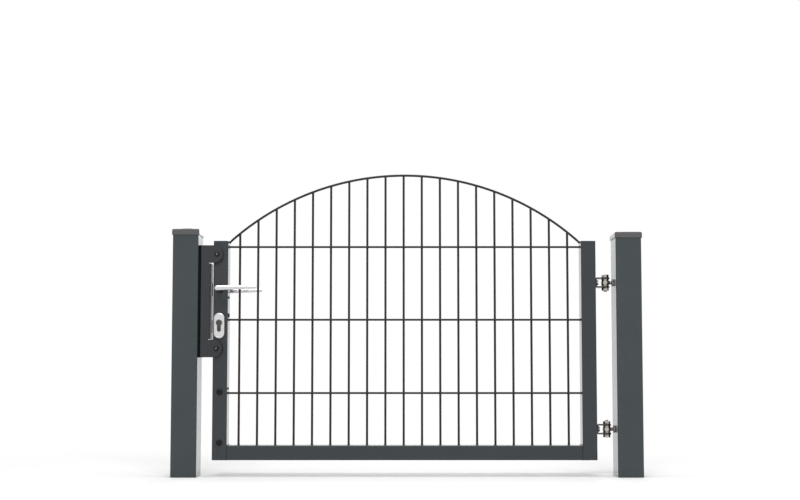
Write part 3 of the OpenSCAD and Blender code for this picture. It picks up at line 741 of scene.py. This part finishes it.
def cutFaceplateSlot(tube, play, depth):
    low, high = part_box("mortice_lock")
    bm = bmesh.new()
    bmesh.ops.create_cube(bm, size=1)
    size = Vector((2 * depth, high.y - low.y + 2 * play, high.z - low.z + 2 * play))
    bm.transform(Matrix.Translation(middleOf("mortice_lock", x=low.x)) @ Matrix.Diagonal((*size, 1)))
    cutter = addObject("slotCutter", meshFrom("slotCutter", bm))
    tube.modifiers.clear()
    slot = tube.modifiers.new("slot", "BOOLEAN")
    slot.operation = "DIFFERENCE"
    slot.solver = "EXACT"
    slot.object = cutter
    bpy.context.view_layer.update()
    settle(tube)
    bpy.data.objects.remove(cutter)
    keepFlat(tube)


makePosts()
makeFrameTubes()
print("tubes made")


# moulded caps on the posts and plugs in the uprights

def makePostCaps():
    values = {"edge": 2.2, "corner": 5.0, "wall": 2.3, "domeR": 31.0, "domeRise": 6.0, "draft": 0.4,
              "lead": 0.4, "foot": 0.5, "perCorner": 11}
    n, edge, corner, lead = values["perCorner"], values["edge"], values["corner"], values["lead"]
    dome, domeRise = values["domeR"], values["domeRise"]
    ball = (dome ** 2 + domeRise ** 2) / (2 * domeRise)       # radius of the sphere that the dome is part of
    for node in ("latch_post_cap", "hinge_post_cap"):
        size = sizeOf(node)
        half, skirt = size.x / 2, size.z - domeRise
        inner = half - values["wall"]
        rings = [squareRing(inner, corner - 2, skirt - values["wall"], n),
                 squareRing(inner, corner - 2, lead, n), squareRing(inner + lead, corner - 2 + lead, 0, n),
                 squareRing(half - values["foot"], corner, 0, n), squareRing(half, corner, 0.6, n)]
        rings += [squareRing(reach, corner, height, n)
                  for reach, height in upperEdge(half - values["draft"], skirt, edge, 4)]
        for share in (1.06, 1.0, 0.92, 0.8, 0.65, 0.5, 0.35, 0.2, 0.08):
            r = dome * share
            rise = math.sqrt(max(ball ** 2 - r ** 2, 0)) - (ball - domeRise)
            turns = [math.atan2(y, x) for x, y, _ in squareRing(half, corner, 0, n)]
            rings.append([(r * math.cos(a), r * math.sin(a), skirt + max(rise, 0.0)) for a in turns])
        bm = bmesh.new()
        skinRings(bm, rings)
        foot = middleOf(node, z=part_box(node)[0].z)
        makePiece(node + "_moulding", bm, foot, "posts", capPlastic, [node], crease=50)


def makeStilePlugs():
    values = {"plate": 3.0, "edge": 0.9, "corner": 3.0, "crown": 0.5, "rib": 1.6, "frameWall": 2.2,
              "lead": 0.6}
    corner, rib = values["corner"], values["rib"]
    for node in ("lock_stile_plug", "hinge_stile_plug"):
        size = sizeOf(node)
        half, seat = size.x / 2, size.z - values["plate"]
        inside = half - values["frameWall"]
        rings = [squareRing(inside - rib, 0.8, seat), squareRing(inside - rib, 0.8, 0.3),
                 squareRing(inside - values["lead"], 1.0, 0), squareRing(inside, 1.2, 0.8),
                 squareRing(inside, 1.2, seat), squareRing(half - 0.2, corner, seat)]
        rings += [squareRing(reach, corner, height)
                  for reach, height in upperEdge(half, size.z - values["crown"], values["edge"], 4)]
        rings += [squareRing(half * 0.6, corner, size.z - 0.12), squareRing(half * 0.3, corner, size.z)]
        bm = bmesh.new()
        skinRings(bm, rings)
        foot = middleOf(node, z=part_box(node)[0].z)
        makePiece(node + "_moulding", bm, foot, "leaf", plugPlastic, [node], crease=50)


makePostCaps()
makeStilePlugs()
print("caps and plugs made")


# welded infill: round rods, arched rod, a weld at every crossing and a fillet at every foot

def sweepRod(bm, path, radius, sides=14):
    side = Vector((0, 1, 0))
    rings = []
    for i, point in enumerate(path):
        before, after = path[max(i - 1, 0)], path[min(i + 1, len(path) - 1)]
        up = (after - before).normalized().cross(side).normalized()
        rings.append([point + radius * (math.cos(a) * side + math.sin(a) * up) for a in fullTurn(sides)])
    skinRings(bm, rings)


# a small uneven bead of weld metal; scale stretches it along the three axes
def addBead(bm, place, scale, draw):
    made = bmesh.ops.create_icosphere(bm, subdivisions=2, radius=1.0)["verts"]
    offset = Vector((draw.uniform(0, 50), draw.uniform(0, 50), draw.uniform(0, 50)))
    for v in made:
        swell = 1 + 0.16 * noise.noise(v.co * 1.7 + offset)
        v.co = place + Vector((v.co.x * scale[0], v.co.y * scale[1], v.co.z * scale[2])) * swell


# a fillet of weld round a rod's end; axis points from the frame along the rod
def addFillet(bm, place, axis, rodR, leg, draw, sides=20):
    turn = axis.to_track_quat("Z", "X")
    offset = draw.uniform(0, 50)
    rings = []
    for share in (-0.15, 0.0, 0.2, 0.45, 0.75, 1.0):
        spread = leg * (1 - math.sqrt(max(0.0, 1 - (1 - max(share, 0)) ** 2)))
        lap = 0.15 if share < 1 else -0.1       # the last ring sinks into the rod
        ring = []
        for a in fullTurn(sides):
            uneven = 1 + 0.3 * noise.noise(Vector((math.cos(a) * 1.3, math.sin(a) * 1.3, offset)))
            r = rodR - 0.1 + spread * uneven + lap
            ring.append(place + turn @ Vector((r * math.cos(a), r * math.sin(a), leg * share)))
        rings.append(ring)
    skinRings(bm, rings)


def makeInfill():
    values = {"rodD": 6.2, "crossD": 5.6, "pitch": 50.0, "crossPitch": 200.0, "crosses": 3, "foot": 141.0,
              "sink": 0.6, "towardsLock": 2.5, "rise": 186.5, "seat": 0.5, "fillet": 2.0, "archSteps": 96,
              "topBead": (3.5, 3.1, 2.2), "crossBead": (3.7, 1.5, 3.4)}
    draw = random.Random(7)
    low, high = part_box("mesh_infill")
    width = (high.x - low.x) / mm
    fillet = values["fillet"]
    rodR, crossR = values["rodD"] / 2, values["crossD"] / 2
    crossY = -rodR - crossR + values["sink"]
    endZ = (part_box("lock_stile")[1].z - low.z) / mm - values["seat"]
    archR = ((width / 2) ** 2 + values["rise"] ** 2) / (2 * values["rise"])
    archMid = endZ + values["rise"] - archR

    def archHeight(x):
        return archMid + math.sqrt(archR ** 2 - x ** 2)

    bm = bmesh.new()
    count = int((width - values["pitch"]) // values["pitch"])
    uprights = [(i - count / 2) * values["pitch"] - values["towardsLock"] for i in range(count + 1)]
    for x in uprights:
        sweepRod(bm, [Vector((x, 0, -0.2)), Vector((x, 0, archHeight(x) - 0.4))], rodR)
        addFillet(bm, Vector((x, 0, 0)), Vector((0, 0, 1)), rodR, fillet, draw)
        slope = -x / math.sqrt(archR ** 2 - x ** 2)
        under = archHeight(x) - rodR * math.hypot(1, slope) - 0.3
        addBead(bm, Vector((x, -0.2, under)), values["topBead"], draw)
    for z in [values["foot"] + i * values["crossPitch"] for i in range(values["crosses"])]:
        sweepRod(bm, [Vector((-width / 2, crossY, z)), Vector((width / 2, crossY, z))], crossR)
        for x in uprights:
            addBead(bm, Vector((x, (crossY + crossR - rodR) / 2, z)), values["crossBead"], draw)
        for side in (-1, 1):
            addFillet(bm, Vector((side * width / 2, crossY, z)), Vector((-side, 0, 0)), crossR, fillet, draw)
    reach = math.asin(width / 2 / archR)
    steps = values["archSteps"]
    angles = [reach * (2 * i / steps - 1) for i in range(steps + 1)]
    sweepRod(bm, [Vector((archR * math.sin(a), 0, archMid + archR * math.cos(a))) for a in angles], rodR, 18)
    for side in (-1, 1):
        along = Vector((-side * math.cos(reach), 0, math.sin(reach)))
        addFillet(bm, Vector((side * width / 2, 0, endZ)) + along * 1.6, along, rodR, fillet + 0.6, draw)
    for v in bm.verts:       # nothing reaches into the frame tubes or out at the front
        v.co.x = min(max(v.co.x, -width / 2), width / 2)
        v.co.y = max(v.co.y, crossY - crossR)
        v.co.z = min(max(v.co.z, 0), (high.z - low.z) / mm)
    middle = middleOf("mesh_infill", y=0, z=low.z)
    makePiece("welded_infill", bm, middle, "leaf", rodCoat, ["mesh_infill"], flatten=False)


# weld seams where the rail meets the uprights
def makeFrameWelds():
    values = {"radius": 1.5, "step": 1.6, "inset": 0.6, "flatten": 0.75, "uneven": (0.9, 1.1)}
    draw = random.Random(11)
    low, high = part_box("bottom_rail")
    bm = bmesh.new()
    half = (high - low) / 2 / mm
    r = values["radius"]
    front, back = -half.y + values["inset"], half.y - values["inset"]
    for side in (-1, 1):
        x = side * half.x
        seams = [(Vector((x, y, half.z - 2)), Vector((x, y, -half.z + 1))) for y in (front, back)]
        seams.append((Vector((x, -half.y + 2, half.z)), Vector((x, half.y - 2, half.z))))
        for start, end in seams:
            count = int((end - start).length / values["step"])
            for i in range(count + 1):
                place = start.lerp(end, i / count)
                place.x -= side * 0.5
                swell = draw.uniform(*values["uneven"])
                addBead(bm, place, (r * swell, r * values["flatten"] * swell, r * swell), draw)
    for v in bm.verts:
        v.co.y = min(max(v.co.y, -half.y), half.y)
    makePiece("frame_welds", bm, (low + high) / 2, "leaf", leafCoat, flatten=False)


makeInfill()
makeFrameWelds()
print("infill made")


# strike plate: one flat pattern with ears and lip, bent twice

def makeStrikePlate():
    values = {"thick": 4.0, "innerR": 1.0, "earR": 24.0, "earSteps": 24, "depth": 46.0, "lipDepth": 40.0,
              "lipGap": 5.5, "relief": 1.2, "corner": 3.0, "edge": 0.5, "keep": (14.0, 36.0), "keepR": 1.5,
              "keepFromBack": 15.0, "keepDrops": (0.0, 102.0)}
    low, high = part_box("strike_plate")
    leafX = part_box("lock_stile")[0].x
    t, innerR, corner, gap = values["thick"], values["innerR"], values["corner"], values["relief"]
    outerR, arc = innerR + t, bendArc(innerR, t)
    firstBend = values["depth"] - outerR
    webEnd = (leafX - low.x) / mm - values["lipGap"] - 2 * outerR
    secondBend = firstBend + arc + webEnd
    lipEnd = secondBend + arc + values["lipDepth"] - outerR
    earR, earSteps = values["earR"], values["earSteps"]
    earU = firstBend + arc + (high.x - low.x) / mm - outerR - earR
    height = sizeOf("strike_plate").z
    lowEar, highEar = 2 * earR, height - 2 * earR
    outline = [(corner, 0)] + [(earU * k / 8, 0) for k in range(1, 9)]
    outline += arcPoints(earU, earR, earR, -90, 90, earSteps)[1:]
    outline += [(secondBend, lowEar), (secondBend, lowEar + gap)]
    outline += [(lipEnd - corner, lowEar + gap), (lipEnd, lowEar + gap + corner)]
    outline += [(lipEnd, highEar - gap - corner), (lipEnd - corner, highEar - gap)]
    outline += [(secondBend, highEar - gap), (secondBend, highEar)]
    outline += arcPoints(earU, height - earR, earR, -90, 90, earSteps)
    outline += [(corner, height), (0, height - corner), (0, corner)]
    spindleZ = (middleOf("spindle").z - low.z) / mm
    middleU = secondBend + arc + values["depth"] - values["keepFromBack"] - outerR
    keepW, keepH = values["keep"]
    left, right = middleU - keepW / 2, middleU + keepW / 2
    holes = [roundedBox(left, z - keepH / 2, right, z + keepH / 2, values["keepR"])
             for z in [spindleZ - drop for drop in values["keepDrops"]]]
    bm = sheetSolid(outline, holes, t, values["edge"], bendCuts((firstBend, secondBend), arc))
    back = (high.y - low.y) / mm
    for v in bm.verts:
        u, z, w = v.co
        inLip = lowEar + gap / 2 < z < highEar - gap / 2
        p = bendPoint(u, w, (firstBend, secondBend) if inLip else (firstBend,), innerR, t)
        v.co = Vector((p.y, back - p.x, z))
    makePiece("strike_plate_sheet", bm, low, "posts", plateCoat, ["strike_plate"])


# button-head screws with a hexagon socket; the head's seat is at height 0 and it stands up from there
def addButtonHead(bm, headR, headH, socket, socketDepth, sides=48):
    values = {"foot": 0.96, "rim": 0.12, "crown": 0.64, "steps": 7, "lead": 0.3, "leadGrow": 1.08}
    rim, crown = values["rim"], socket * values["crown"]
    rings = [circleRing(headR * values["foot"], 0, sides), circleRing(headR, headH * rim, sides)]
    for a in quarterTurn(values["steps"])[1:-1]:
        rings.append(circleRing(crown + (headR - crown) * math.cos(a) ** 0.8,
                                headH * (rim + (1 - rim) * math.sin(a)), sides))
    rings += [hexRing(socket, headH, sides, values["leadGrow"]),
              hexRing(socket, headH - values["lead"], sides), hexRing(socket, headH - socketDepth, sides),
              circleRing(socket * 0.12, headH - socketDepth - 0.5, sides)]
    skinRings(bm, rings)


# a screw's plain stem, below its seat
def addStem(bm, radius, length, edge=0.5):
    addLathe(bm, drumProfile(radius, -length, 0.2, edge), 32)


# a bright zinc lining inside a key socket: a painted highlight at the middle of the screw head
def makeSocketGlint(name, seat, body, values):
    socket, top, sides = values["socket"], values["headH"] - 0.35, 48
    floorH = values["headH"] - values["socketDepth"]
    bm = bmesh.new()
    skinRings(bm, [hexRing(socket - 0.02, top, sides), hexRing(socket - 0.5, top, sides),
                   hexRing(socket - 0.7, floorH + 0.9, sides), circleRing(0.5, floorH + 0.5, sides),
                   circleRing(0.5, floorH + 0.1, sides), hexRing(socket - 0.02, floorH + 0.1, sides)],
              closed=True)
    makePiece(name, bm, seat, body, zincPlate, turn=upToFront)


# the seat of a screw that comes in from the front, and the length of its stem
def frontSeat(node, headH):
    low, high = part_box(node)
    return middleOf(node, y=low.y + headH * mm), (high.y - low.y) / mm - headH


def makeBuffers():
    values = {"bulge": 0.5, "belt": 0.15, "edge": 1.0, "head": 7.0, "headH": 4.4, "socket": 5.0,
              "socketDepth": 2.6, "stemR": 4.0}
    bulge, belt = values["bulge"], values["belt"]
    for side in ("upper", "lower"):
        node = side + "_buffer"
        size = sizeOf(node)
        r, half = size.x / 2, size.y / 2
        profile = [(x + (bulge * (1 - (h / half) ** 2) - bulge), h)
                   for x, h in drumProfile(r, -half, half, values["edge"])]
        profile[4:4] = [(r - belt, -half * 0.4), (r, 0), (r - belt, half * 0.4)]
        bm = bmesh.new()
        addLathe(bm, profile)
        makePiece(side + "_rubber_buffer", bm, middleOf(node), "posts", blackRubberAndShadeFill, [node],
                  upToFront)
        node = side + "_buffer_screw"
        seat, stem = frontSeat(node, values["headH"])
        bm = bmesh.new()
        addButtonHead(bm, values["head"], values["headH"], values["socket"], values["socketDepth"])
        addStem(bm, values["stemR"], stem)
        makePiece(side + "_ear_screw", bm, seat, "posts", blackScrew, [node], upToFront)
        makeSocketGlint(side + "_ear_screw_socket_glint", seat, "posts", values)


def makeStileScrews():
    values = {"headR": 9.0, "headH": 3.0, "socket": 6.0, "socketDepth": 1.9, "flange": 0.8,
              "flangeEdge": 0.35, "button": 0.74, "stemR": 5.0}
    r, flange = values["headR"], values["flange"]
    for side in ("upper", "lower"):
        node = side + "_stile_screw"
        seat, stem = frontSeat(node, values["headH"])
        bm = bmesh.new()
        addLathe(bm, drumProfile(r, 0, flange, values["flangeEdge"], 2), 56)
        start = len(bm.verts)
        addButtonHead(bm, r * values["button"], values["headH"] - flange, values["socket"],
                      values["socketDepth"])
        moveAdded(bm, start, lambda p: (p.x, p.y, p.z + flange))
        addStem(bm, values["stemR"], stem)
        makePiece(side + "_socket_screw", bm, seat, "leaf", blackScrew, [node], upToFront)


makeStrikePlate()
makeBuffers()
makeStileScrews()
print("strike plate made")


# hinges: eye bolt, its nuts, bracket, pin bolt, nut and spacers

hingeValues = {"pinR": 5.0, "pitch": 1.5, "flats": 17.0, "boltFlats": 13.0, "washerR": 10.0, "washer": 2.0,
               "headH": 6.4, "nutH": 8.0, "tail": 3.0, "nutPlay": 0.02,
               "turns": {"eyeNuts": 30, "bracketBolt": 17, "upperPin": 12, "lowerPin": 40, "pinNut": 24}}


# a hexagon turned about its own axis, as it happened to be tightened
def tighten(bm, which):
    bm.transform(Matrix.Rotation(math.radians(hingeValues["turns"][which]), 4, "Z"))


def makeEyeBolt(side):
    values = {"eyeR": 11.0, "bore": 5.05, "edge": 1.6, "shankR": 4.9, "neck": 6.4, "lead": 0.6, "rootR": 4.6,
              "thread": 14.0, "inPost": 30.0}       # the last two count from the eye's middle
    node = side + "_eye_bolt"
    low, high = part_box(node)
    half = (high.z - low.z) / mm / 2
    face, neck, shankR = values["eyeR"], values["neck"], values["shankR"]
    bore, lead, thread, inPost = values["bore"], values["lead"], values["thread"], values["inPost"]
    centre = middleOf(node, x=low.x + face * mm)
    length = (high.x - centre.x) / mm
    bm = bmesh.new()
    inside = [(bore + lead, half), (bore, half - lead), (bore, -half + lead), (bore + lead, -half)]
    addLathe(bm, drumProfile(face, -half, half, values["edge"], 5) + inside, 64, closed=True)
    start = len(bm.verts)
    addLathe(bm, [(neck - 0.6, face - 2.6), (neck - 0.9, face - 1.0), (shankR + 0.35, face),
                  (shankR, face + 1.2), (shankR, thread + 0.2)], 36)
    addThread(bm, hingeValues["pinR"], hingeValues["pitch"], thread, inPost)
    addLathe(bm, [(values["rootR"], inPost - 0.5), (values["rootR"], length - 9)], 36)   # hidden in the post
    first = len(bm.verts)
    addThread(bm, hingeValues["pinR"], hingeValues["pitch"], -length, -length + 10)
    moveAdded(bm, first, lambda p: (p.x, p.y, -p.z))
    moveAdded(bm, start, lambda p: (p.z, p.y, p.x))
    makePiece(side + "_eye_bolt_forging", bm, centre, "posts", zincPlate, [node])


def makeEyeNuts(side):
    node = side + "_eye_nuts"
    low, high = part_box(node)
    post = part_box("hinge_post")
    middle = middleOf(node)
    bm = bmesh.new()
    for start, end in ((low.x, post[0].x), (post[1].x, high.x)):
        addHex(bm, hingeValues["flats"], (start - middle.x) / mm, (end - middle.x) / mm,
               hingeValues["pinR"] + hingeValues["nutPlay"], bothEnds=True)
    tighten(bm, "eyeNuts")
    makePiece(side + "_eye_bolt_nuts", bm, middle, "posts", zincPlate, [node], upAlongX)


def makeBracket(side):
    values = {"thick": 4.0, "innerR": 2.0, "halfWidth": 12.0, "bore": 5.1, "edge": 0.5}
    node = side + "_bracket"
    low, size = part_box(node)[0], sizeOf(node)
    t, innerR, half = values["thick"], values["innerR"], values["halfWidth"]
    outerR, arc = innerR + t, bendArc(innerR, t)
    arm = size.x - outerR
    web = size.z - 2 * outerR
    starts = (arm, arm + arc + web)
    total = 2 * (arm + arc) + web
    outline = arcPoints(half, 0, half, 90, 270, 20)
    outline += [(total * k / 6, -half) for k in (1.5, 3, 4.5)]
    outline += arcPoints(total - half, 0, half, -90, 90, 20)
    outline += [(total * k / 6, half) for k in (4.5, 3, 1.5)]
    holes = [arcPoints(u, 0, values["bore"], 0, 360, 32)[:-1] for u in (half, total - half)]
    bm = sheetSolid(outline, holes, t, values["edge"], bendCuts(starts, arc))
    for v in bm.verts:
        p = bendPoint(v.co.x, v.co.z, starts, innerR, t)
        v.co = Vector((size.x - p.x, v.co.y, size.z - p.y))
    corner = middleOf(node, x=low.x, z=low.z)
    makePiece(side + "_bracket_strap", bm, corner, "leaf", shadedBracketZinc, [node])


def makeBracketBolt(side):
    values = {"headH": 5.5, "stemR": 4.0, "edge": 0.6}
    node = side + "_bracket_bolt"
    low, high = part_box(node)
    bm = bmesh.new()
    addHex(bm, hingeValues["boltFlats"], 0, values["headH"])
    addStem(bm, values["stemR"], (high.x - low.x) / mm - values["headH"], values["edge"])
    tighten(bm, "bracketBolt")
    seat = middleOf(node, x=high.x - values["headH"] * mm)
    makePiece(side + "_bracket_bolt_hex", bm, seat, "leaf", zincPlate, [node], upAlongX)


def makePinBolt(side):
    v = hingeValues
    node = side + "_pin_bolt"
    low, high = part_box(node)
    headSide = 1 if side == "upper" else -1
    seatZ = high.z if headSide > 0 else low.z
    seat = middleOf(node, z=seatZ - headSide * (v["headH"] + v["washer"]) * mm)
    shank = (high.z - low.z) / mm - v["headH"] - v["washer"]
    threadEnd = shank - v["nutH"] - v["tail"] - 0.5
    bm = bmesh.new()
    addLathe(bm, drumProfile(v["washerR"], 0, v["washer"], 0.4, 2), 56)
    addHex(bm, v["flats"], v["washer"], v["washer"] + v["headH"])
    addLathe(bm, [(v["pinR"], 0.5), (v["pinR"], -threadEnd)], 40)
    addThread(bm, v["pinR"], v["pitch"], -shank, -threadEnd + 0.3)
    tighten(bm, side + "Pin")
    turn = None if headSide > 0 else upsideDown
    makePiece(side + "_pin_bolt_hex", bm, seat, "leaf", zincPlate, [node], turn)


def makePinNut(side):
    node = side + "_pin_nut"
    low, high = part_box(node)
    half = (high.z - low.z) / mm / 2
    bm = bmesh.new()
    addHex(bm, hingeValues["flats"], -half, half, hingeValues["pinR"] + hingeValues["nutPlay"], bothEnds=True)
    tighten(bm, "pinNut")
    makePiece(side + "_pin_nut_hex", bm, middleOf(node), "leaf", zincPlate, [node])


def makeSpacers(side):
    values = {"thick": 4.0, "bore": 5.1, "edge": 0.5}
    node = side + "_spacers"
    low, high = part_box(node)
    half = (high.z - low.z) / mm / 2
    r = (high.x - low.x) / mm / 2
    bm = bmesh.new()
    for start, end in ((-half, -half + values["thick"]), (half - values["thick"], half)):
        inside = [(values["bore"], end), (values["bore"], start)]
        addLathe(bm, drumProfile(r, start, end, values["edge"], 2) + inside, 56, closed=True)
    makePiece(side + "_spacer_washers", bm, middleOf(node), "leaf", zincPlate, [node])


for hingeSide in ("upper", "lower"):
    for makeHingePart in (makeEyeBolt, makeEyeNuts, makeBracket, makeBracketBolt, makePinBolt, makePinNut,
                          makeSpacers):
        makeHingePart(hingeSide)
print("hinges made")


# lock: cylinder, oval plates, roses, screws and levers

profileValues = {"round": 8.5, "foot": 5.0, "full": 33.0, "play": 0.2}
sideTurns = {"front": upToFront, "back": upToBack}


# the seat of a front or back fitting on the lock stile
def seatOf(node, side):
    low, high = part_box(node)
    return middleOf(node, y=high.y if side == "front" else low.y)


# the lock cylinder's outline about its round part, with the foot towards -v
def profileOutline(grow):
    p = profileValues
    r, foot = p["round"] + grow, p["foot"] + grow
    footV = p["round"] - p["full"] + p["foot"]
    join = math.degrees(math.asin(foot / r))
    return arcPoints(0, 0, r, -90 + join, 270 - join, 32) + arcPoints(0, footV, foot, 180, 360, 16)


def makeCylinder():
    values = {"edge": 0.4, "plugR": 6.6, "plugH": 4.0, "plugEdge": 0.18, "recess": 0.3, "groove": 0.35,
              "keyW": 2.2, "keyH": 8.6}
    low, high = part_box("lock_cylinder")
    length = (high.y - low.y) / mm
    centre = middleOf("lock_cylinder", z=high.z - profileValues["round"] * mm)
    bm = sheetSolid(profileOutline(0), [], length, values["edge"])
    bmesh.ops.translate(bm, verts=bm.verts, vec=(0, 0, -length / 2))
    makePiece("lock_cylinder_body", bm, centre, "leaf", cylinderNickel, ["lock_cylinder"],
              upToFront)
    w, h = values["keyW"] / 2, values["keyH"] / 2
    keyway = [(-w, -h), (w, -h), (w, -h * 0.35), (w * 0.2, -h * 0.1), (w * 0.2, h * 0.2), (w, h * 0.4),
              (w, h), (-w * 0.4, h), (-w * 0.4, h * 0.35), (-w, h * 0.1)]
    lift = length / 2 - values["plugH"] + values["recess"]
    ringR, rim, root = values["plugR"] + values["groove"], length / 2 + 0.15, length / 2 - 0.6
    for name, turn in (("front", upToFront), ("back", upToBack @ Matrix.Rotation(math.pi, 4, "Z"))):
        bm = sheetSolid(arcPoints(0, 0, values["plugR"], 0, 360, 40)[:-1], [keyway], values["plugH"],
                        values["plugEdge"])
        bmesh.ops.translate(bm, verts=bm.verts, vec=(0, 0, lift))
        addLathe(bm, [(ringR, root), (ringR + 0.1, rim), (ringR + 0.8, rim), (ringR + 0.9, root)],
                 closed=True)
        makePiece(name + "_key_plug", bm, centre, "leaf", cylinderNickel, turn=turn)


def makeCylinderPlates():
    values = {"edge": 2.6, "groove": 0.5, "grooveIn": 3.4, "step": 0.35, "lead": 0.5, "holeDepth": 3.0}
    edge, groove, gIn, step = values["edge"], values["groove"], values["grooveIn"], values["step"]
    for side, turn in sideTurns.items():
        node = side + "_cylinder_plate"
        size, centre = sizeOf(node), seatOf(node, side)
        w, h, t = size.x, size.z, size.y
        rings = [ovalRing(w - 0.6, h - 0.6, 0), ovalRing(w, h, values["lead"])]
        for a in quarterTurn(5):
            inset = edge * (1 - math.cos(a))
            rings.append(ovalRing(w - 2 * inset, h - 2 * inset, t - edge + edge * math.sin(a)))
        for inset, drop in ((gIn, 0.0), (gIn + 0.25, groove), (gIn + 0.8, groove), (gIn + 1.05, step)):
            rings.append(ovalRing(w - 2 * inset, h - 2 * inset, t - drop))
        bm = bmesh.new()
        top = skinRings(bm, rings, capTop=False)[-1]
        flip = 1 if side == "front" else -1
        offset = (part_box("lock_cylinder")[1].z - centre.z) / mm - profileValues["round"]
        hole = [(x, flip * (y + offset)) for x, y in profileOutline(profileValues["play"])]
        face = t - step
        inner, deep = [[bm.verts.new((x, y, height)) for x, y in hole]
                       for height in (face, face - values["holeDepth"])]
        edges = [bm.edges.get((a, b)) or bm.edges.new((a, b)) for loop in (top, inner)
                 for a, b in zip(loop, loop[1:] + loop[:1])]
        bmesh.ops.triangle_fill(bm, use_beauty=True, edges=edges)
        joinRings(bm, inner, deep)
        bm.faces.new(deep)
        makePiece(side + "_oval_plate", bm, centre, "leaf", satinSilver, [node], turn)


def makeRoses():
    values = {"bore": 8.05, "edge": 0.8, "lead": 0.3, "leadH": 0.4}
    bore = values["bore"]
    for side, turn in sideTurns.items():
        node = side + "_rose"
        size = sizeOf(node)
        inside = [(bore + values["lead"], size.y), (bore, size.y - values["leadH"]), (bore, 0)]
        bm = bmesh.new()
        addLathe(bm, drumProfile(size.x / 2, 0, size.y, values["edge"]) + inside, 56, closed=True)
        makePiece(side + "_rose_ring", bm, seatOf(node, side), "leaf", blackScrew, [node],
                  turn)


# an oval with flattened sides, across the lever; the power squares it
def leverRing(x, halfUp, halfDeep, y, z, sides=36, power=0.78):
    ring = []
    for a in fullTurn(sides):
        c, s = math.cos(a), math.sin(a)
        ring.append((x, y + halfDeep * math.copysign(abs(c) ** power, c),
                     z + halfUp * math.copysign(abs(s) ** power, s)))
    return ring


# a cast lever: a grip that narrows from below, blended into a round neck
def makeLevers():
    values = {"reach": 105.0, "rootR": 7.5, "tipR": 4.7, "rootT": 14.0, "tipT": 9.0, "tipEdge": 2.5,
              "neckR": 7.9, "waist": 7.0, "stand": 34.0, "gripSteps": 24, "voxel": 0.55, "softness": 0.5,
              "softTimes": 10}
    stile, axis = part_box("lock_stile"), middleOf("spindle")
    rootR, tipR, reach, tipEdge = values["rootR"], values["tipR"], values["reach"], values["tipEdge"]
    rootHalf, tipHalf, steps = values["rootT"] / 2, values["tipT"] / 2, values["gripSteps"]
    neckR, waist = values["neckR"], values["waist"]
    gripY = -values["stand"] - rootHalf
    for side, wall in (("front", stile[0].y), ("back", stile[1].y)):
        rings = [leverRing(-rootR * math.cos(a), rootR * math.sin(a), rootHalf * math.sin(a) ** 0.8, gripY, 0)
                 for a in quarterTurn(8)[1:]]
        for i in range(1, steps + 1):
            share = i / steps
            narrow = share ** 0.75
            halfUp = rootR + (tipR - rootR) * narrow
            halfDeep = rootHalf + (values["tipT"] - values["rootT"]) / 2 * narrow
            rings.append(leverRing((reach - tipEdge) * share, halfUp, halfDeep, gripY, rootR - halfUp))
        for a in quarterTurn(6)[1:-1]:
            inset = tipEdge * (1 - math.cos(a))
            rings.append(leverRing(reach - tipEdge + tipEdge * math.sin(a), tipR - inset, tipHalf - inset,
                                   gripY, rootR - tipR))
        bm = bmesh.new()
        skinRings(bm, rings)
        start = len(bm.verts)
        addLathe(bm, [(neckR, 0.5), (neckR, 8), (neckR, 12), (waist, 20), (waist, 26), (neckR - 0.6, 36),
                      (neckR - 1.5, -gripY)], 40)
        moveAdded(bm, start, lambda p: (p.x, -p.z, p.y))
        bmesh.ops.recalc_face_normals(bm, faces=bm.faces)
        turn = None if side == "front" else Matrix.Scale(-1, 4, Vector((0, 1, 0)))
        lever = makePiece(side + "_lever_casting", bm, Vector((axis.x, wall, axis.z)), "handle",
                          satinSilver, [side + "_lever"], turn, crease=180, flatten=False)
        whole = lever.modifiers.new("whole", "REMESH")
        whole.mode = "VOXEL"
        whole.voxel_size = values["voxel"] * mm
        soft = lever.modifiers.new("soft", "SMOOTH")
        soft.factor = values["softness"]
        soft.iterations = values["softTimes"]
        bpy.context.view_layer.update()
        settle(lever)
        lever.data.shade_smooth()


def makeInnerScrews():
    values = {"heads": ((238.5, 3.5, 2.5), (438.0, 6.0, 3.0), (487.0, 3.5, 2.5)),   # height, radius, depth
              "socket": 0.75, "socketDepth": 0.6}
    bm = bmesh.new()
    for height, r, depth in values["heads"]:
        start = len(bm.verts)
        addButtonHead(bm, r, depth, r * values["socket"], depth * values["socketDepth"], 40)
        moveAdded(bm, start, lambda p: (p.z, p.y, height - p.x))
    seat = middleOf("inner_screws", x=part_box("lock_stile")[1].x, z=0)
    makePiece("inner_screw_heads", bm, seat, "leaf", blackScrew, ["inner_screws"])


makeCylinder()
makeCylinderPlates()
makeRoses()
makeLevers()
makeInnerScrews()
print("lock and levers made")


# pieces that keep their frame shape get their finish here

keptFinishes = {"mortice_lock": lockSteel, "latch_bolt": lockSteel, "dead_bolt": zincPlate,
                # the strike packer is near black: partly a real packer, partly a dark strip standing in for
                # shade in the gap by the strike plate
                "spindle": zincPlate, "strike_packer": blackRubberAndShadeFill, "strike_screws": zincPlate}
for nodeName, finish in keptFinishes.items():
    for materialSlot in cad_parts[nodeName].material_slots:
        materialSlot.material = finish
print("finishes set")
